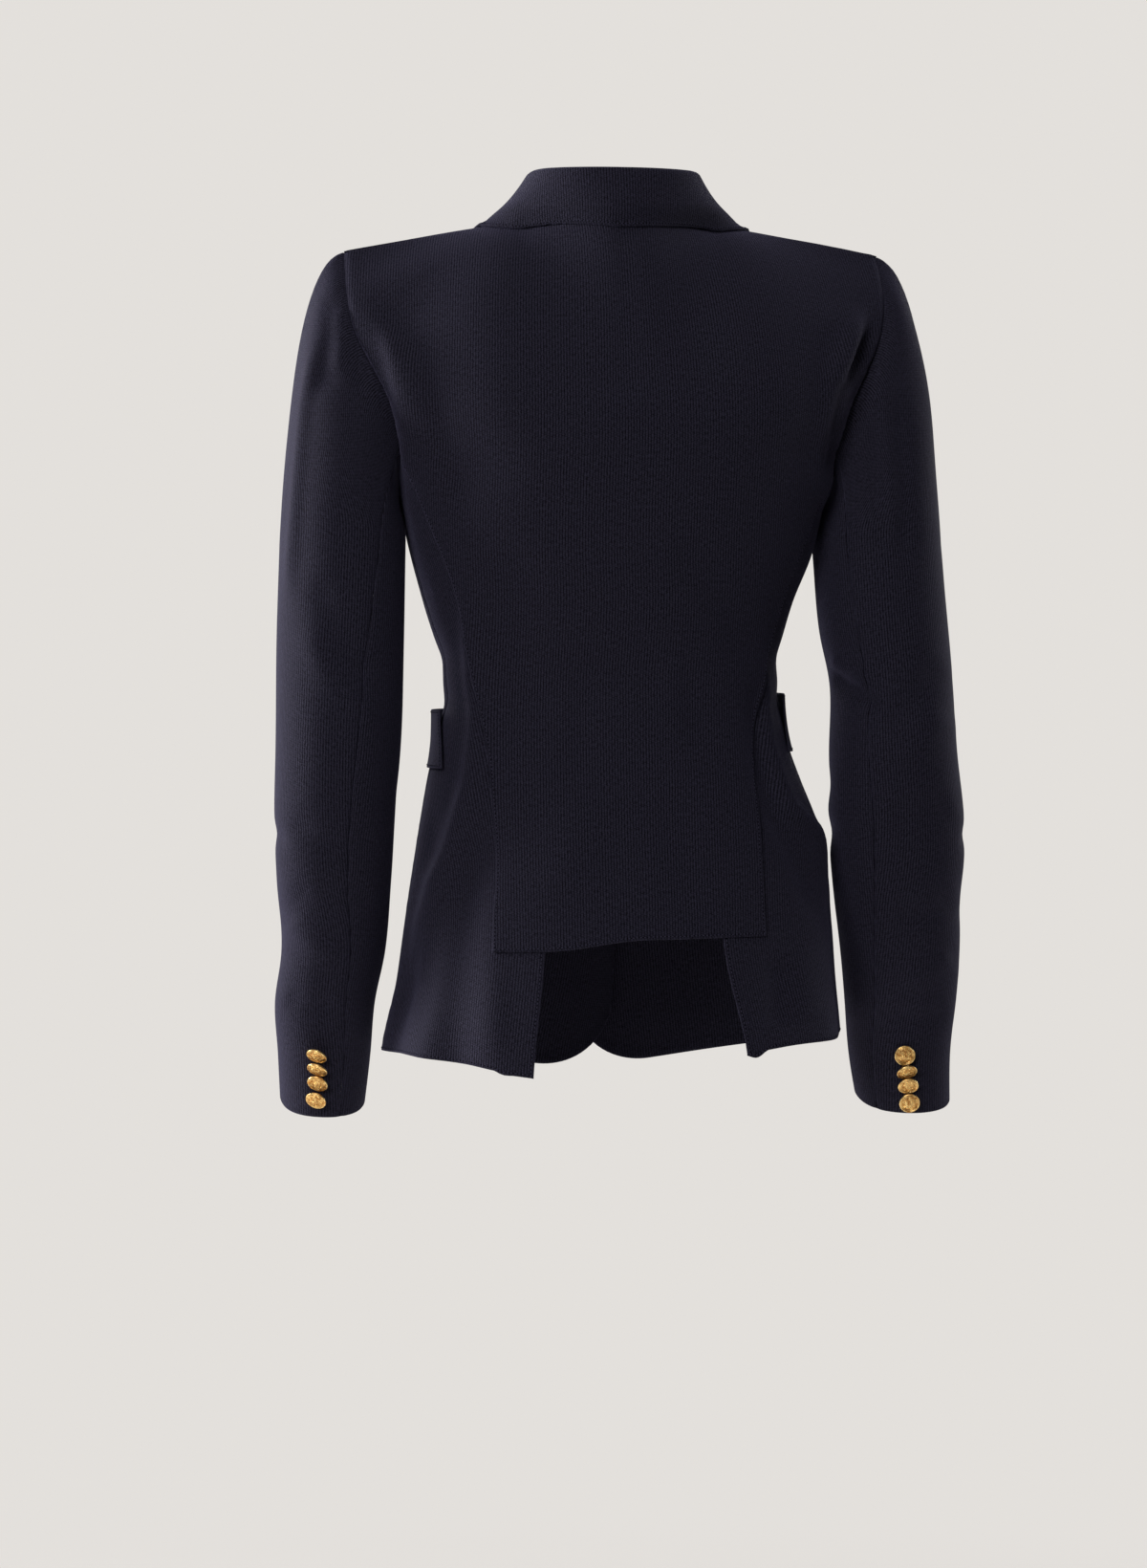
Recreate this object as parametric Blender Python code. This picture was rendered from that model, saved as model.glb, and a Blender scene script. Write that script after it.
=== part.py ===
"""Fitted blazer, hollow as worn: every cut cloth piece and metal button as a closed solid.

Metres, +Z up. The front faces -Y. The origin lies between the shoulders, on the line through
the two neck points. "left" and "right" are the wearer's, and left is +X.
"""
import math

import bmesh
import bpy
import numpy as np
from mathutils import Matrix, Vector
from mathutils.bvhtree import BVHTree

# Driving dimensions
CLOTH = 0.0016            # wall of one cloth layer
COLLAR_CLOTH = 0.0016     # collar and lapels
SEAM_GAP = 0.0003         # between two pieces at a seam
LAYER_GAP = 0.0009        # between two layers that lie on each other
COLLAR_GAP = 0.0019       # between the collar and the cloth under it, away from its edge
UNDERLAP_GAP = 0.0016     # between the back and the underlaps below it
ROLL_RADIUS = 0.0042      # of the collar's turn at its roll line
CHEST = -0.168            # height where the body tube ends and the shoulders begin
UNDERARM = -0.200         # lowest point of the armholes
BICEP = -0.235            # height of the sleeves' first full ring
ARMHOLE_GAP = 0.0004      # between the body and the sleeve round the armhole
BUTTON_RADIUS = 0.00785
FRONT_BUTTON_RADIUS = 0.0100
BUTTON_GAP = 0.00035      # between a button's nearest point and the cloth
WELT_HEIGHT = 0.044
WELT_RISE = 0.004         # how much higher the front end of a pocket welt is
WELT_GAPE = 0.007         # how far the top edge of a pocket welt stands open

NAVY = (0.012, 0.012, 0.024)
GOLD = (0.72, 0.46, 0.16)
SIDES = {"left": 1.0, "right": -1.0}


def table(names, *rows):
    """A table as one array for each named column."""
    return dict(zip(names.split(), np.array(rows, float).T))


# The body tube, one row for each height
BODY = table(
    "height left right back front square",
    (-0.650, 0.178, 0.176, 0.121, 0.118, 2.2),
    (-0.600, 0.171, 0.173, 0.119, 0.115, 2.2),
    (-0.560, 0.162, 0.169, 0.115, 0.112, 2.2),
    (-0.520, 0.156, 0.166, 0.110, 0.109, 2.2),
    (-0.480, 0.150, 0.161, 0.104, 0.105, 2.3),
    (-0.445, 0.145, 0.154, 0.097, 0.101, 2.3),
    (-0.411, 0.139, 0.141, 0.089, 0.098, 2.3),
    (-0.375, 0.131, 0.129, 0.081, 0.096, 2.3),
    (-0.345, 0.1265, 0.124, 0.079, 0.096, 2.3),
    (-0.310, 0.132, 0.126, 0.082, 0.102, 2.3),
    (-0.280, 0.141, 0.134, 0.088, 0.112, 2.3),
    (-0.244, 0.151, 0.149, 0.095, 0.121, 2.3),
    (-0.200, 0.160, 0.159, 0.102, 0.120, 2.4),
    (-0.168, 0.1665, 0.1655, 0.106, 0.113, 2.5),
    (-0.130, 0.171, 0.171, 0.108, 0.104, 2.6),
)
# Seams as distances from the middle of the garment, one row for each height
BACK_SEAM = table(
    "height out",
    (-0.650, 0.1010), (-0.536, 0.1010), (-0.478, 0.0986), (-0.430, 0.0988), (-0.387, 0.1005),
    (-0.351, 0.1055), (-0.313, 0.1130), (-0.270, 0.1255), (-0.229, 0.1410), (-0.190, 0.1550),
    (-0.172, 0.1608), (-0.160, 0.1640),
)
UNDERLAP = table(
    "height left right",
    (-0.650, 0.0760, 0.0900), (-0.610, 0.0730, 0.0855), (-0.535, 0.0650, 0.0690),
    (-0.450, 0.0660, 0.0690), (-0.345, 0.0830, 0.0830), (-0.250, 0.1200, 0.1200),
    (-0.160, 0.1530, 0.1530),
)
FRONT_EDGE = table(
    "height past_middle",
    (-0.650, 0.0080), (-0.580, 0.0150), (-0.500, 0.0180), (-0.420, 0.0180), (-0.325, 0.0180),
    (-0.295, 0.0155), (-0.227, 0.0000), (-0.168, -0.0136),
)
# Angles round the body in degrees: 0 is the middle of the back, 180 the middle of the front
SIDE_SEAM = table("height angle", (-0.650, 93.0), (-0.450, 91.0), (-0.345, 87.0), (UNDERARM, 91.0))
FRONT_ARMHOLE_ANGLE = 109.0
FRONT_TURN = 0.88         # share of a front's height, hem to chest, where the side seam ends
BACK_HEM = table(
    "across height", (-1, -0.5249), (-0.45, -0.5262), (0, -0.5275), (0.55, -0.5345), (1, -0.5360),
)
SIDE_HEM = table(
    "forward left right",
    (0.0, -0.6262, -0.6112), (0.25, -0.6245, -0.6128), (0.45, -0.6230, -0.6092), (0.60, -0.6165, -0.6048),
    (0.78, -0.6120, -0.6022), (1.0, -0.6120, -0.5990),
)
FRONT_HEM = table(
    "forward left right", (0.0, -0.6120, -0.5990), (0.5, -0.6240, -0.6190), (1.0, -0.6380, -0.6360),
)
FRONT_WIDTH = 0.190       # a front's width at the hem
FRONT_CORNER = 0.055      # radius of the rounded corner of each front
# Soft folds of the body: middle angle and its drift down, heights, half width (degrees), depth
BODY_FOLDS = table(
    "angle drift top bottom width depth",
    (58.0, 10.0, -0.420, -0.700, 7.0, 0.0045),
    (78.0, 4.0, -0.450, -0.700, 7.0, -0.0040),
    (-60.0, -8.0, -0.410, -0.700, 7.0, 0.0040),
    (-79.0, -3.0, -0.440, -0.700, 6.0, -0.0035),
    (124.0, 0.0, -0.430, -0.700, 9.0, 0.0035),
    (-127.0, 0.0, -0.430, -0.700, 9.0, 0.0035),
    (22.0, 4.0, -0.300, -0.440, 9.0, -0.0022),
    (-30.0, -6.0, -0.290, -0.430, 8.0, -0.0020),
)
# Shoulders: the armhole from the chest line (0) to the shoulder tip (1)
SHOULDER_TIP = {"left": (0.2015, 0.000, -0.0182), "right": (-0.2010, 0.000, -0.0150)}
NECK_POINT = (0.072, 0.002, 0.0050)
NAPE = (0.0, 0.056, 0.010)
ROWS_HIGH = (0.0, 0.15, 0.30, 0.45, 0.60, 0.80, 1.0)    # rows of cloth from chest to shoulder
ROWS_LOW = 12             # rows of cloth from the hem to the chest or the side seam's top
BACK_ARMHOLE = table(
    "up x y z",
    (0.00, 0.1600, 0.0400, -0.1680), (0.24, 0.1725, 0.0520, -0.1335), (0.42, 0.1855, 0.0500, -0.1083),
    (0.60, 0.1970, 0.0420, -0.0814), (0.80, 0.2018, 0.0270, -0.0500), (1.00, 0.2015, 0.0000, -0.0175),
)
FRONT_ARMHOLE = table(
    "up x y z",
    (0.00, 0.1530, -0.0520, -0.1680), (0.24, 0.1600, -0.0660, -0.1330), (0.45, 0.1730, -0.0640, -0.1000),
    (0.68, 0.1890, -0.0480, -0.0620), (0.86, 0.1985, -0.0250, -0.0340), (1.00, 0.2015, 0.0000, -0.0175),
)
# How the back bends over to the shoulder line, from its middle (0) to the armholes (1)
BACK_SLOPE = table(
    "across start forward rise",
    (0.00, 0.170, -0.085, 0.060), (0.25, 0.200, -0.130, 0.035), (0.45, 0.215, -0.160, 0.020),
    (0.70, 0.190, -0.145, 0.020), (1.00, 0.165, -0.125, 0.020),
)
ROLL_EDGE = table(
    "up x y z",
    (0.00, 0.0136, -0.1130, -0.1680), (0.42, 0.0290, -0.1010, -0.1000), (0.74, 0.0430, -0.0790, -0.0440),
    (0.90, 0.0600, -0.0400, -0.0110), (1.00, 0.0720, 0.0020, 0.0050),
)
# Sleeves, one row for each height: middle, half width, half depth, angle of the back-arm seam
SLEEVE = {
    "left": table(
        "height x y half deep seam",
        (-0.665, 0.2134, -0.0560, 0.0305, 0.0400, -15.0), (-0.616, 0.2128, -0.0420, 0.0345, 0.0410, -17.0),
        (-0.578, 0.2131, -0.0300, 0.0373, 0.0425, -17.0), (-0.541, 0.2080, -0.0180, 0.0387, 0.0440, -13.0),
        (-0.486, 0.2088, -0.0020, 0.0422, 0.0475, -9.0), (-0.440, 0.2087, 0.0080, 0.0444, 0.0500, -9.0),
        (-0.390, 0.2064, 0.0120, 0.0462, 0.0520, -11.0), (-0.310, 0.2044, 0.0080, 0.0466, 0.0535, -18.0),
        (BICEP, 0.2020, 0.0000, 0.0466, 0.0560, -26.0),
    ),
    "right": table(
        "height x y half deep seam",
        (-0.665, 0.2336, -0.0560, 0.0345, 0.0400, -43.0), (-0.616, 0.2272, -0.0420, 0.0385, 0.0410, -42.0),
        (-0.578, 0.2250, -0.0300, 0.0418, 0.0425, -38.0), (-0.541, 0.2225, -0.0180, 0.0448, 0.0445, -37.0),
        (-0.486, 0.2177, -0.0020, 0.0488, 0.0480, -33.0), (-0.440, 0.2138, 0.0080, 0.0505, 0.0500, -31.0),
        (-0.390, 0.2108, 0.0120, 0.0475, 0.0520, -32.0), (-0.337, 0.2098, 0.0100, 0.0455, 0.0530, -33.0),
        (-0.300, 0.2048, 0.0080, 0.0478, 0.0535, -34.0),
        (BICEP, 0.2005, 0.0000, 0.0476, 0.0560, -36.0),
    ),
}
FRONT_ARM_SEAM = 212.0    # angle of the sleeves' front seam
SLEEVE_SQUARE = 2.15      # 2 is an ellipse, more is squarer
CUFF = {"left": -0.6625, "right": -0.6640}
CUFF_RISE = 0.022         # the cuff's front edge is this much higher than its back edge
# Creases of the sleeves: side, angle, height, half widths in degrees and metres, depth
SLEEVE_FOLDS = table(
    "side angle height across along depth",
    (1, 235.0, -0.420, 30.0, 0.012, -0.0030), (1, 215.0, -0.455, 26.0, 0.011, -0.0026),
    (1, -20.0, -0.330, 30.0, 0.022, -0.0016), (1, 60.0, -0.520, 34.0, 0.020, -0.0016),
    (-1, 235.0, -0.415, 30.0, 0.012, -0.0032), (-1, 260.0, -0.450, 26.0, 0.011, -0.0028),
    (-1, -45.0, -0.335, 26.0, 0.014, -0.0024), (-1, 70.0, -0.500, 34.0, 0.020, -0.0016),
)
# Collar from the middle of the back (0) to the gorge (1): roll line and outer edge
COLLAR = table(
    "along kx ky kz fx fy fz",
    (0.00, 0.000, 0.0585, 0.0385, 0.000, 0.0780, -0.0095),
    (0.22, 0.031, 0.0520, 0.0395, 0.046, 0.0540, -0.0035),
    (0.42, 0.0535, 0.0290, 0.0410, 0.086, 0.0250, -0.0010),
    (0.56, 0.0580, 0.0010, 0.0400, 0.104, 0.0020, -0.0010),
    (0.74, 0.0570, -0.0320, 0.0240, 0.114, -0.0400, -0.0170),
    (0.88, 0.0510, -0.0590, -0.0040, 0.113, -0.0620, -0.0360),
    (1.00, 0.0440, -0.0810, -0.0400, 0.104, -0.0720, -0.0560),
)
COLLAR_SHOULDER = 0.56    # where the collar's neck seam passes the neck point
COLLAR_HOLLOW = table("along bulge", (0.0, 0.0020), (0.3, 0.0), (0.56, -0.0035), (0.8, -0.0010), (1.0, 0.0))
COLLAR_END = 0.70         # the collar's end, as a share of the lapel's width at the gorge
LAPEL_WIDTH = table(
    "up width", (0.700, 0.000), (0.90, 0.030), (1.20, 0.058), (1.50, 0.078), (1.66, 0.086), (1.75, 0.086),
)
LAPEL_START = {"left": 0.930, "right": 0.740}
GORGE = 1.74              # where the lapel meets the collar on the roll line
GORGE_DROP = 0.12         # how far the gorge seam falls towards the notch
ROW_LENGTH = 0.165        # a front's width from the roll line to the armhole
LAPEL_LEAST = 0.006       # width of a lapel's lower end
SHOULDER_ARCH = 0.0008    # height of the shoulder seam's arch
SAME_POINT = 0.00002      # seam points of two pieces closer than this are one point
RIDGE_LIFT = 0.0014       # the collar's edge rises this much over the shoulder seam
NEAR_CLOTH = 0.008        # points farther than this from a surface aren't pushed off it
NECK_SHARE = 0.36         # share of the back's top edge that is its neckline
WELT_TOP = {"left": -0.359, "right": -0.346}
# Angles round the body of a welt's back end, below and above, and of its front end
WELT_ANGLES = {"left": (75.0, 84.0, 137.0), "right": (75.0, 85.0, 137.0)}
# Cuff buttons from the top: angle round the sleeve, height, how far each one droops from upright
# and how far its upright axis is turned, both in degrees
CUFF_BUTTONS = {
    "left": ((11.1, -0.6134, 55.0, 21.0), (10.2, -0.6238, 58.0, 20.0), (9.7, -0.6346, 47.0, 20.0),
             (10.6, -0.6475, 44.0, 22.0)),
    "right": ((-6.5, -0.6180, 14.0, 0.0), (-5.4, -0.6300, 52.0, -12.0), (-5.1, -0.6412, 42.0, -5.0),
              (-5.0, -0.6548, 24.0, -5.0)),
}
DROOP_FROM = math.radians(7.5)    # the buttons' droop is measured from this far left of straight behind
FRONT_BUTTON_HEIGHTS = (-0.335, -0.425)


def smooth(knots, values, at):
    """The smooth curve through (knots, values), read at `at` and level past its ends."""
    order = np.argsort(knots)
    xs = np.asarray(knots, float)[order]
    ys = np.asarray(values, float)[order]
    slopes = np.gradient(ys, xs)
    x = np.clip(at, xs[0], xs[-1])
    i = np.clip(np.searchsorted(xs, x, side="right") - 1, 0, len(xs) - 2)
    step = xs[i + 1] - xs[i]
    t = (x - xs[i]) / step
    return (
        ys[i] * (1 + 2 * t) * (1 - t) ** 2 + ys[i + 1] * t * t * (3 - 2 * t)
        + slopes[i] * step * t * (1 - t) ** 2 - slopes[i + 1] * step * t * t * (1 - t)
    )


def read(tab, name, at, by="height"):
    return smooth(tab[by], tab[name], at)


def ease(x):
    x = np.clip(x, 0.0, 1.0)
    return x * x * (3 - 2 * x)


def mix(a, b, t):
    return a + (b - a) * t


def hermite(start, start_pull, end, end_pull, t):
    t = np.asarray(t)[..., None]
    return (
        start * (1 + 2 * t) * (1 - t) ** 2 + end * t * t * (3 - 2 * t)
        + start_pull * t * (1 - t) ** 2 - end_pull * t * t * (1 - t)
    )


def body_folds(angle, z):
    out = 0.0
    for k in range(len(BODY_FOLDS["angle"])):
        fold = {name: values[k] for name, values in BODY_FOLDS.items()}
        down = (fold["top"] - z) / (fold["top"] - fold["bottom"])
        middle = fold["angle"] + fold["drift"] * np.clip(down, 0, 1)
        window = ease(down * 2.2) * (1 if fold["bottom"] < -0.65 else ease((1 - down) * 2.2))
        out = out + fold["depth"] * window * np.exp(-(((angle - middle) / fold["width"]) ** 2))
    return out


def body_radius(angle, z):
    s, c = np.sin(np.radians(angle)), np.cos(np.radians(angle))
    wide = np.where(s >= 0, read(BODY, "left", z), read(BODY, "right", z))
    deep = np.where(c >= 0, read(BODY, "back", z), read(BODY, "front", z))
    power = read(BODY, "square", z)
    return (np.abs(s / wide) ** power + np.abs(c / deep) ** power) ** (-1 / power)


def body_point(angle, z, out=0.0):
    """The torso's outer cloth at an angle and height, moved outwards by `out`."""
    angle, z, out = np.broadcast_arrays(np.asarray(angle, float), z, out)
    wrapped = (angle + 180.0) % 360.0 - 180.0
    radius = body_radius(angle, z) + body_folds(wrapped, z) + out
    return np.stack([radius * np.sin(np.radians(angle)), radius * np.cos(np.radians(angle)), z], -1)


def angle_at(x, z, front=False):
    """The angle on the body tube that lies x to the left of its middle, behind or in front."""
    x, z = np.broadcast_arrays(np.asarray(x, float), z)
    low, high = np.full(x.shape, -89.0), np.full(x.shape, 89.0)
    for _ in range(30):
        middle = (low + high) / 2
        angle = 180.0 - middle if front else middle
        beyond = body_radius(angle, z) * np.sin(np.radians(middle)) > x
        high = np.where(beyond, middle, high)
        low = np.where(beyond, low, middle)
    return 180.0 - middle if front else middle


def seam_angle(side, z):
    return angle_at(SIDES[side] * read(BACK_SEAM, "out", z), z)


def side_angle(side, z):
    return SIDES[side] * read(SIDE_SEAM, "angle", z)


def armhole_height(side, angle):
    """Height of the armhole's lower part, on the body tube, at an angle from the back's middle."""
    lowest = np.abs(side_angle(side, UNDERARM))
    back = np.abs(seam_angle(side, CHEST))
    reach = np.where(angle < lowest, (lowest - angle) / (lowest - back),
                     (angle - lowest) / (FRONT_ARMHOLE_ANGLE - lowest))
    return UNDERARM + (CHEST - UNDERARM) * np.clip(reach, 0, 1) ** 1.35


def route(tab, side, up):
    """A point of a three-column table's curve, mirrored to its side."""
    points = np.stack([read(tab, name, up, by="up") for name in "xyz"], -1)
    points[..., 0] *= SIDES[side]
    tip = np.array(SHOULDER_TIP[side]) - np.array([SIDES[side] * tab["x"][-1], tab["y"][-1], tab["z"][-1]])
    reach = 0.0 if tab is ROLL_EDGE else ease(np.asarray(up))[..., None]
    return points + tip * reach


def upwards(angle, z):
    """Direction of the body tube's cloth, going up, for one metre of height."""
    step = 0.004
    return (body_point(angle, z) - body_point(angle, z - step)) / step


def shoulder_line(side, across):
    """The shoulder seam from the neck point (0) to the tip (1), slightly arched."""
    neck = np.array(NECK_POINT) * (SIDES[side], 1, 1)
    across = np.asarray(across)[..., None]
    line = mix(neck, np.array(SHOULDER_TIP[side]), across)
    return line + np.array([0, 0, SHOULDER_ARCH]) * np.sin(math.pi * across)


def back_low(s, v):
    """The back below the chest line: s from right seam (-1) to left seam (1), v from hem to chest."""
    z = mix(read(BACK_HEM, "height", s, by="across"), CHEST, v)
    angle = mix(seam_angle("right", z), seam_angle("left", z), (s + 1) / 2)
    return body_point(angle, z), angle


def back_point(s, v):
    """The back panel: v runs from the hem (0) by the chest line (1) to the shoulders (2)."""
    s, v = np.broadcast_arrays(np.asarray(s, float), v)
    low, _ = back_low(s, np.clip(v, 0, 1))
    start, angle = back_low(s, np.ones_like(s))
    reach = np.abs(s)
    half = np.clip(reach / NECK_SHARE, 0, 1)
    over = np.clip((reach - NECK_SHARE) / (1 - NECK_SHARE), 0, 1)
    line = np.where((s > 0)[..., None], shoulder_line("left", over), shoulder_line("right", over))
    line[..., 0] = np.where(reach < NECK_SHARE, s * NECK_POINT[0] / NECK_SHARE, line[..., 0])
    hump = np.exp(-((s / 0.21) ** 2))
    end = line + np.stack([0 * s, NAPE[1] * hump, 0.004 * hump], -1)
    rise = 1 - half ** 1.8
    neckline = np.stack([s * NECK_POINT[0] / NECK_SHARE, mix(NECK_POINT[1], NAPE[1], rise),
                         mix(NECK_POINT[2], NAPE[2], rise)], -1)
    trim = np.where((reach < NECK_SHARE)[..., None], neckline, line) - end
    start_pull = upwards(angle, CHEST) * read(BACK_SLOPE, "start", reach, by="across")[..., None]
    arrival = [read(BACK_SLOPE, name, reach, by="across") for name in ("forward", "rise")]
    end_pull = np.stack([0.0 * s, *arrival], -1)
    up = np.clip(v - 1, 0, 1)
    high = hermite(start, start_pull, end, end_pull, up) + trim * up[..., None] ** 4
    for side, sign in SIDES.items():
        edge_s = np.full_like(s, sign)
        edge_start, edge_angle = back_low(edge_s, np.ones_like(s))
        edge_end = np.array(SHOULDER_TIP[side])
        edge_pull = np.array([0.0, -0.125, 0.020])
        plain = hermite(edge_start, upwards(edge_angle, CHEST) * 0.165, edge_end, edge_pull, up)
        fix = route(BACK_ARMHOLE, side, up) - plain
        fix = fix - (route(BACK_ARMHOLE, side, 0.0 * up) - edge_start) * (1 - up)[..., None]
        weight = ease((s * sign - 0.30) / 0.70)[..., None]
        high = high + fix * weight
    return np.where((v <= 1)[..., None], low, high)


def front_low(side, s, v):
    """A front below the chest line: s from side seam (0) to front edge (1), v from hem to chest."""
    sign = SIDES[side]
    round_off = np.clip((s - 1) * FRONT_WIDTH / FRONT_CORNER + 1, 0, 0.985)
    hem_side = read(FRONT_HEM, side, s, by="forward") + FRONT_CORNER * (1 - np.sqrt(1 - round_off ** 2))
    below = np.clip(v / FRONT_TURN, 0, 1)
    beside = np.clip((v - FRONT_TURN) / (1 - FRONT_TURN), 0, 1)
    z_side = mix(hem_side, UNDERARM, below)
    angle_side = np.abs(side_angle(side, z_side))
    angle_arm = mix(np.abs(side_angle(side, UNDERARM)), FRONT_ARMHOLE_ANGLE, beside)
    z_arm = armhole_height(side, angle_arm)
    upper = v > FRONT_TURN
    edge_angle = np.where(upper, angle_arm, angle_side)
    edge_z = np.where(upper, z_arm, z_side)
    front_z = mix(hem_side, CHEST, v)
    z = mix(edge_z, front_z, s)
    past = -sign * read(FRONT_EDGE, "past_middle", z)
    front_angle = angle_at(past, z, front=True)
    front_angle = np.where(sign > 0, front_angle, 360.0 - front_angle)
    angle = mix(edge_angle, front_angle, s)
    lap = 0.0
    if side == "right":
        x = body_radius(angle, z) * np.sin(np.radians(angle))
        lap = (CLOTH + LAYER_GAP + 0.0004) * ease((0.055 - x) / 0.030) * ease((-0.205 - z) / 0.02)
    return body_point(sign * angle, z, lap), sign * angle


def front_point(side, s, v):
    """A front: s from side seam and armhole (0) to front edge and roll line (1), v 0, 1, 2."""
    s, v = np.broadcast_arrays(np.asarray(s, float), v)
    ones = np.ones_like(s)
    low, _ = front_low(side, s, np.clip(v, 0, 1))
    start, angle = front_low(side, s, ones)
    up = np.clip(v - 1, 0, 1)
    end = shoulder_line(side, 1 - s)
    high = hermite(start, front_rise(start, angle, s), end, front_arrival(s), up)
    for edge, tab in ((0.0, FRONT_ARMHOLE), (1.0, ROLL_EDGE)):
        edge_start, edge_angle = front_low(side, edge * ones, ones)
        edge_end = shoulder_line(side, (1 - edge) * ones)
        plain = hermite(edge_start, front_rise(edge_start, edge_angle, edge * ones), edge_end,
                        front_arrival(edge * ones), up)
        fix = route(tab, side, up) - plain
        fix = fix - (route(tab, side, 0.0 * up) - edge_start) * (1 - up)[..., None]
        near = ease(1 - s / 0.75) if edge == 0 else ease((s - 0.25) / 0.75)
        high = high + fix * near[..., None]
    return np.where((v <= 1)[..., None], low, high)


def front_rise(start, angle, s):
    return upwards(angle, CHEST) * 0.165 + np.stack([0.02 * s * np.sign(start[..., 0]), 0 * s, 0 * s], -1)


def front_arrival(s):
    return np.stack([0.0 * s, mix(0.110, 0.130, s), mix(0.030, 0.060, s)], -1)


def side_back_point(side, s, v):
    """A side panel: s from the underlap's edge (-1) by the back seam (0) to the side seam (1)."""
    sign = SIDES[side]
    s, v = np.broadcast_arrays(np.asarray(s, float), v)
    hem = read(SIDE_HEM, side, (s + 1) / 2, by="forward")
    at_seam = np.abs(seam_angle(side, CHEST))
    at_side = np.abs(side_angle(side, UNDERARM))
    top = armhole_height(side, mix(at_seam, at_side, np.clip(s, 0, 1))) - np.where(s < 0, 0.004 * -s, 0)
    z = mix(hem, top, v)
    seam = np.abs(seam_angle(side, z))
    under = np.abs(angle_at(sign * read(UNDERLAP, side, z), z))
    angle = np.where(s < 0, mix(seam, under, -s), mix(seam, np.abs(side_angle(side, z)), s))
    sink = (CLOTH + UNDERLAP_GAP) * (1 - ease(s / 0.55))
    return body_point(sign * angle, z, -sink)


def sleeve_ring(side, angle, z):
    """The sleeve below the bicep line. Angles: 0 is the back, 90 the outside, 180 the front."""
    sign, tab = SIDES[side], SLEEVE[side]
    angle = np.asarray(angle, float)
    s, c = np.sin(np.radians(angle)), np.cos(np.radians(angle))
    across, deep = np.abs(s / read(tab, "half", z)), np.abs(c / read(tab, "deep", z))
    radius = (across ** SLEEVE_SQUARE + deep ** SLEEVE_SQUARE) ** (-1 / SLEEVE_SQUARE)
    for k in range(len(SLEEVE_FOLDS["side"])):
        fold = {name: values[k] for name, values in SLEEVE_FOLDS.items()}
        if fold["side"] != sign:
            continue
        turn = (angle - fold["angle"] + 180.0) % 360.0 - 180.0
        away = (turn / fold["across"]) ** 2 + ((z - fold["height"]) / fold["along"]) ** 2
        radius = radius + fold["depth"] * np.exp(-away)
    x = read(tab, "x", z) + radius * s
    return np.stack([sign * x, read(tab, "y", z) + radius * c, z + 0 * x], -1)


def armhole_loop(side, count_under, count_ahead):
    """The armhole's points from the back seam up, over the tip, down the front and round below."""
    sign = SIDES[side]
    rows = np.array(ROWS_HIGH)
    back = back_point(sign, 1 + rows)
    front = front_point(side, 0.0, 1 + rows[::-1])
    ahead = front_point(side, 0.0, mix(1.0, FRONT_TURN, np.linspace(0, 1, count_ahead + 1)))
    at_seam, at_side = np.abs(seam_angle(side, CHEST)), np.abs(side_angle(side, UNDERARM))
    angle = mix(at_side, at_seam, np.linspace(0, 1, count_under + 1))
    under = body_point(sign * angle, armhole_height(side, angle))
    return np.concatenate([back, front[1:]]), np.concatenate([ahead, under[1:]])


def armhole_outwards(side):
    """Direction out of the armhole into the sleeve."""
    return np.array([SIDES[side] * 0.966, 0.0, -0.26])


def sleeve_panel(side, points, angles, rows_head, rows_arm):
    """Rows from the armhole's points to the bicep line and on to the cuff."""
    sign = SIDES[side]
    outwards = armhole_outwards(side)
    start = points + outwards * ARMHOLE_GAP
    low = np.clip((SHOULDER_TIP[side][2] - points[:, 2]) / (SHOULDER_TIP[side][2] - UNDERARM), 0, 1)[:, None]
    end = sleeve_ring(side, angles(BICEP), BICEP)
    apart = np.linalg.norm(end - start, axis=1)[:, None]
    start_pull = outwards * (1 - 0.86 * low ** 1.5) + np.array([0, 0, -1.0]) * low ** 1.5 * 1.1
    swell = np.sign(points[:, 1:2]) * 0.35 * np.sin(math.pi * low)
    start_pull = start_pull + np.stack([0 * low, swell, 0 * low], -1)[:, 0]
    start_pull = start_pull / np.linalg.norm(start_pull, axis=1)[:, None] * apart * mix(0.50, 0.9, low)
    end_pull = (np.array([sign * 0.05, 0, -1.0]) * apart) * mix(0.75, 1.0, low)
    rows = [hermite(start, start_pull, end, end_pull, np.full(len(points), t))
            for t in np.linspace(0, 1, rows_head + 1) ** 1.15]
    for t in np.linspace(0, 1, rows_arm + 1)[1:]:
        z = mix(BICEP, CUFF[side], t)
        ring = angles(z)
        lift = CUFF_RISE * t ** 4 * (1 - np.cos(np.radians(ring))) / 2
        rows.append(sleeve_ring(side, ring, z + lift))
    return np.array(rows)


def unit(vectors):
    length = np.linalg.norm(vectors, axis=-1, keepdims=True)
    return vectors / np.maximum(length, 1e-12)


def grid_normals(points):
    """Normals of a grid's points, along (down the columns) x (along the rows)."""
    return unit(np.cross(np.gradient(points, axis=0), np.gradient(points, axis=1)))


class Piece:
    """One cut piece: a grid on the outer face, and its offset to the inner face."""

    def __init__(self, name, points, wall=CLOTH, outside=(0, 0, 0), material="cloth"):
        self.name = name
        self.points = np.array(points, float)
        self.wall = wall
        self.material = material
        normals = grid_normals(self.points)
        away = np.sum(normals * (self.points - np.array(outside)))
        self.turned = away < 0
        self.normals = -normals if self.turned else normals
        self.inward = -self.normals * wall


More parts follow.
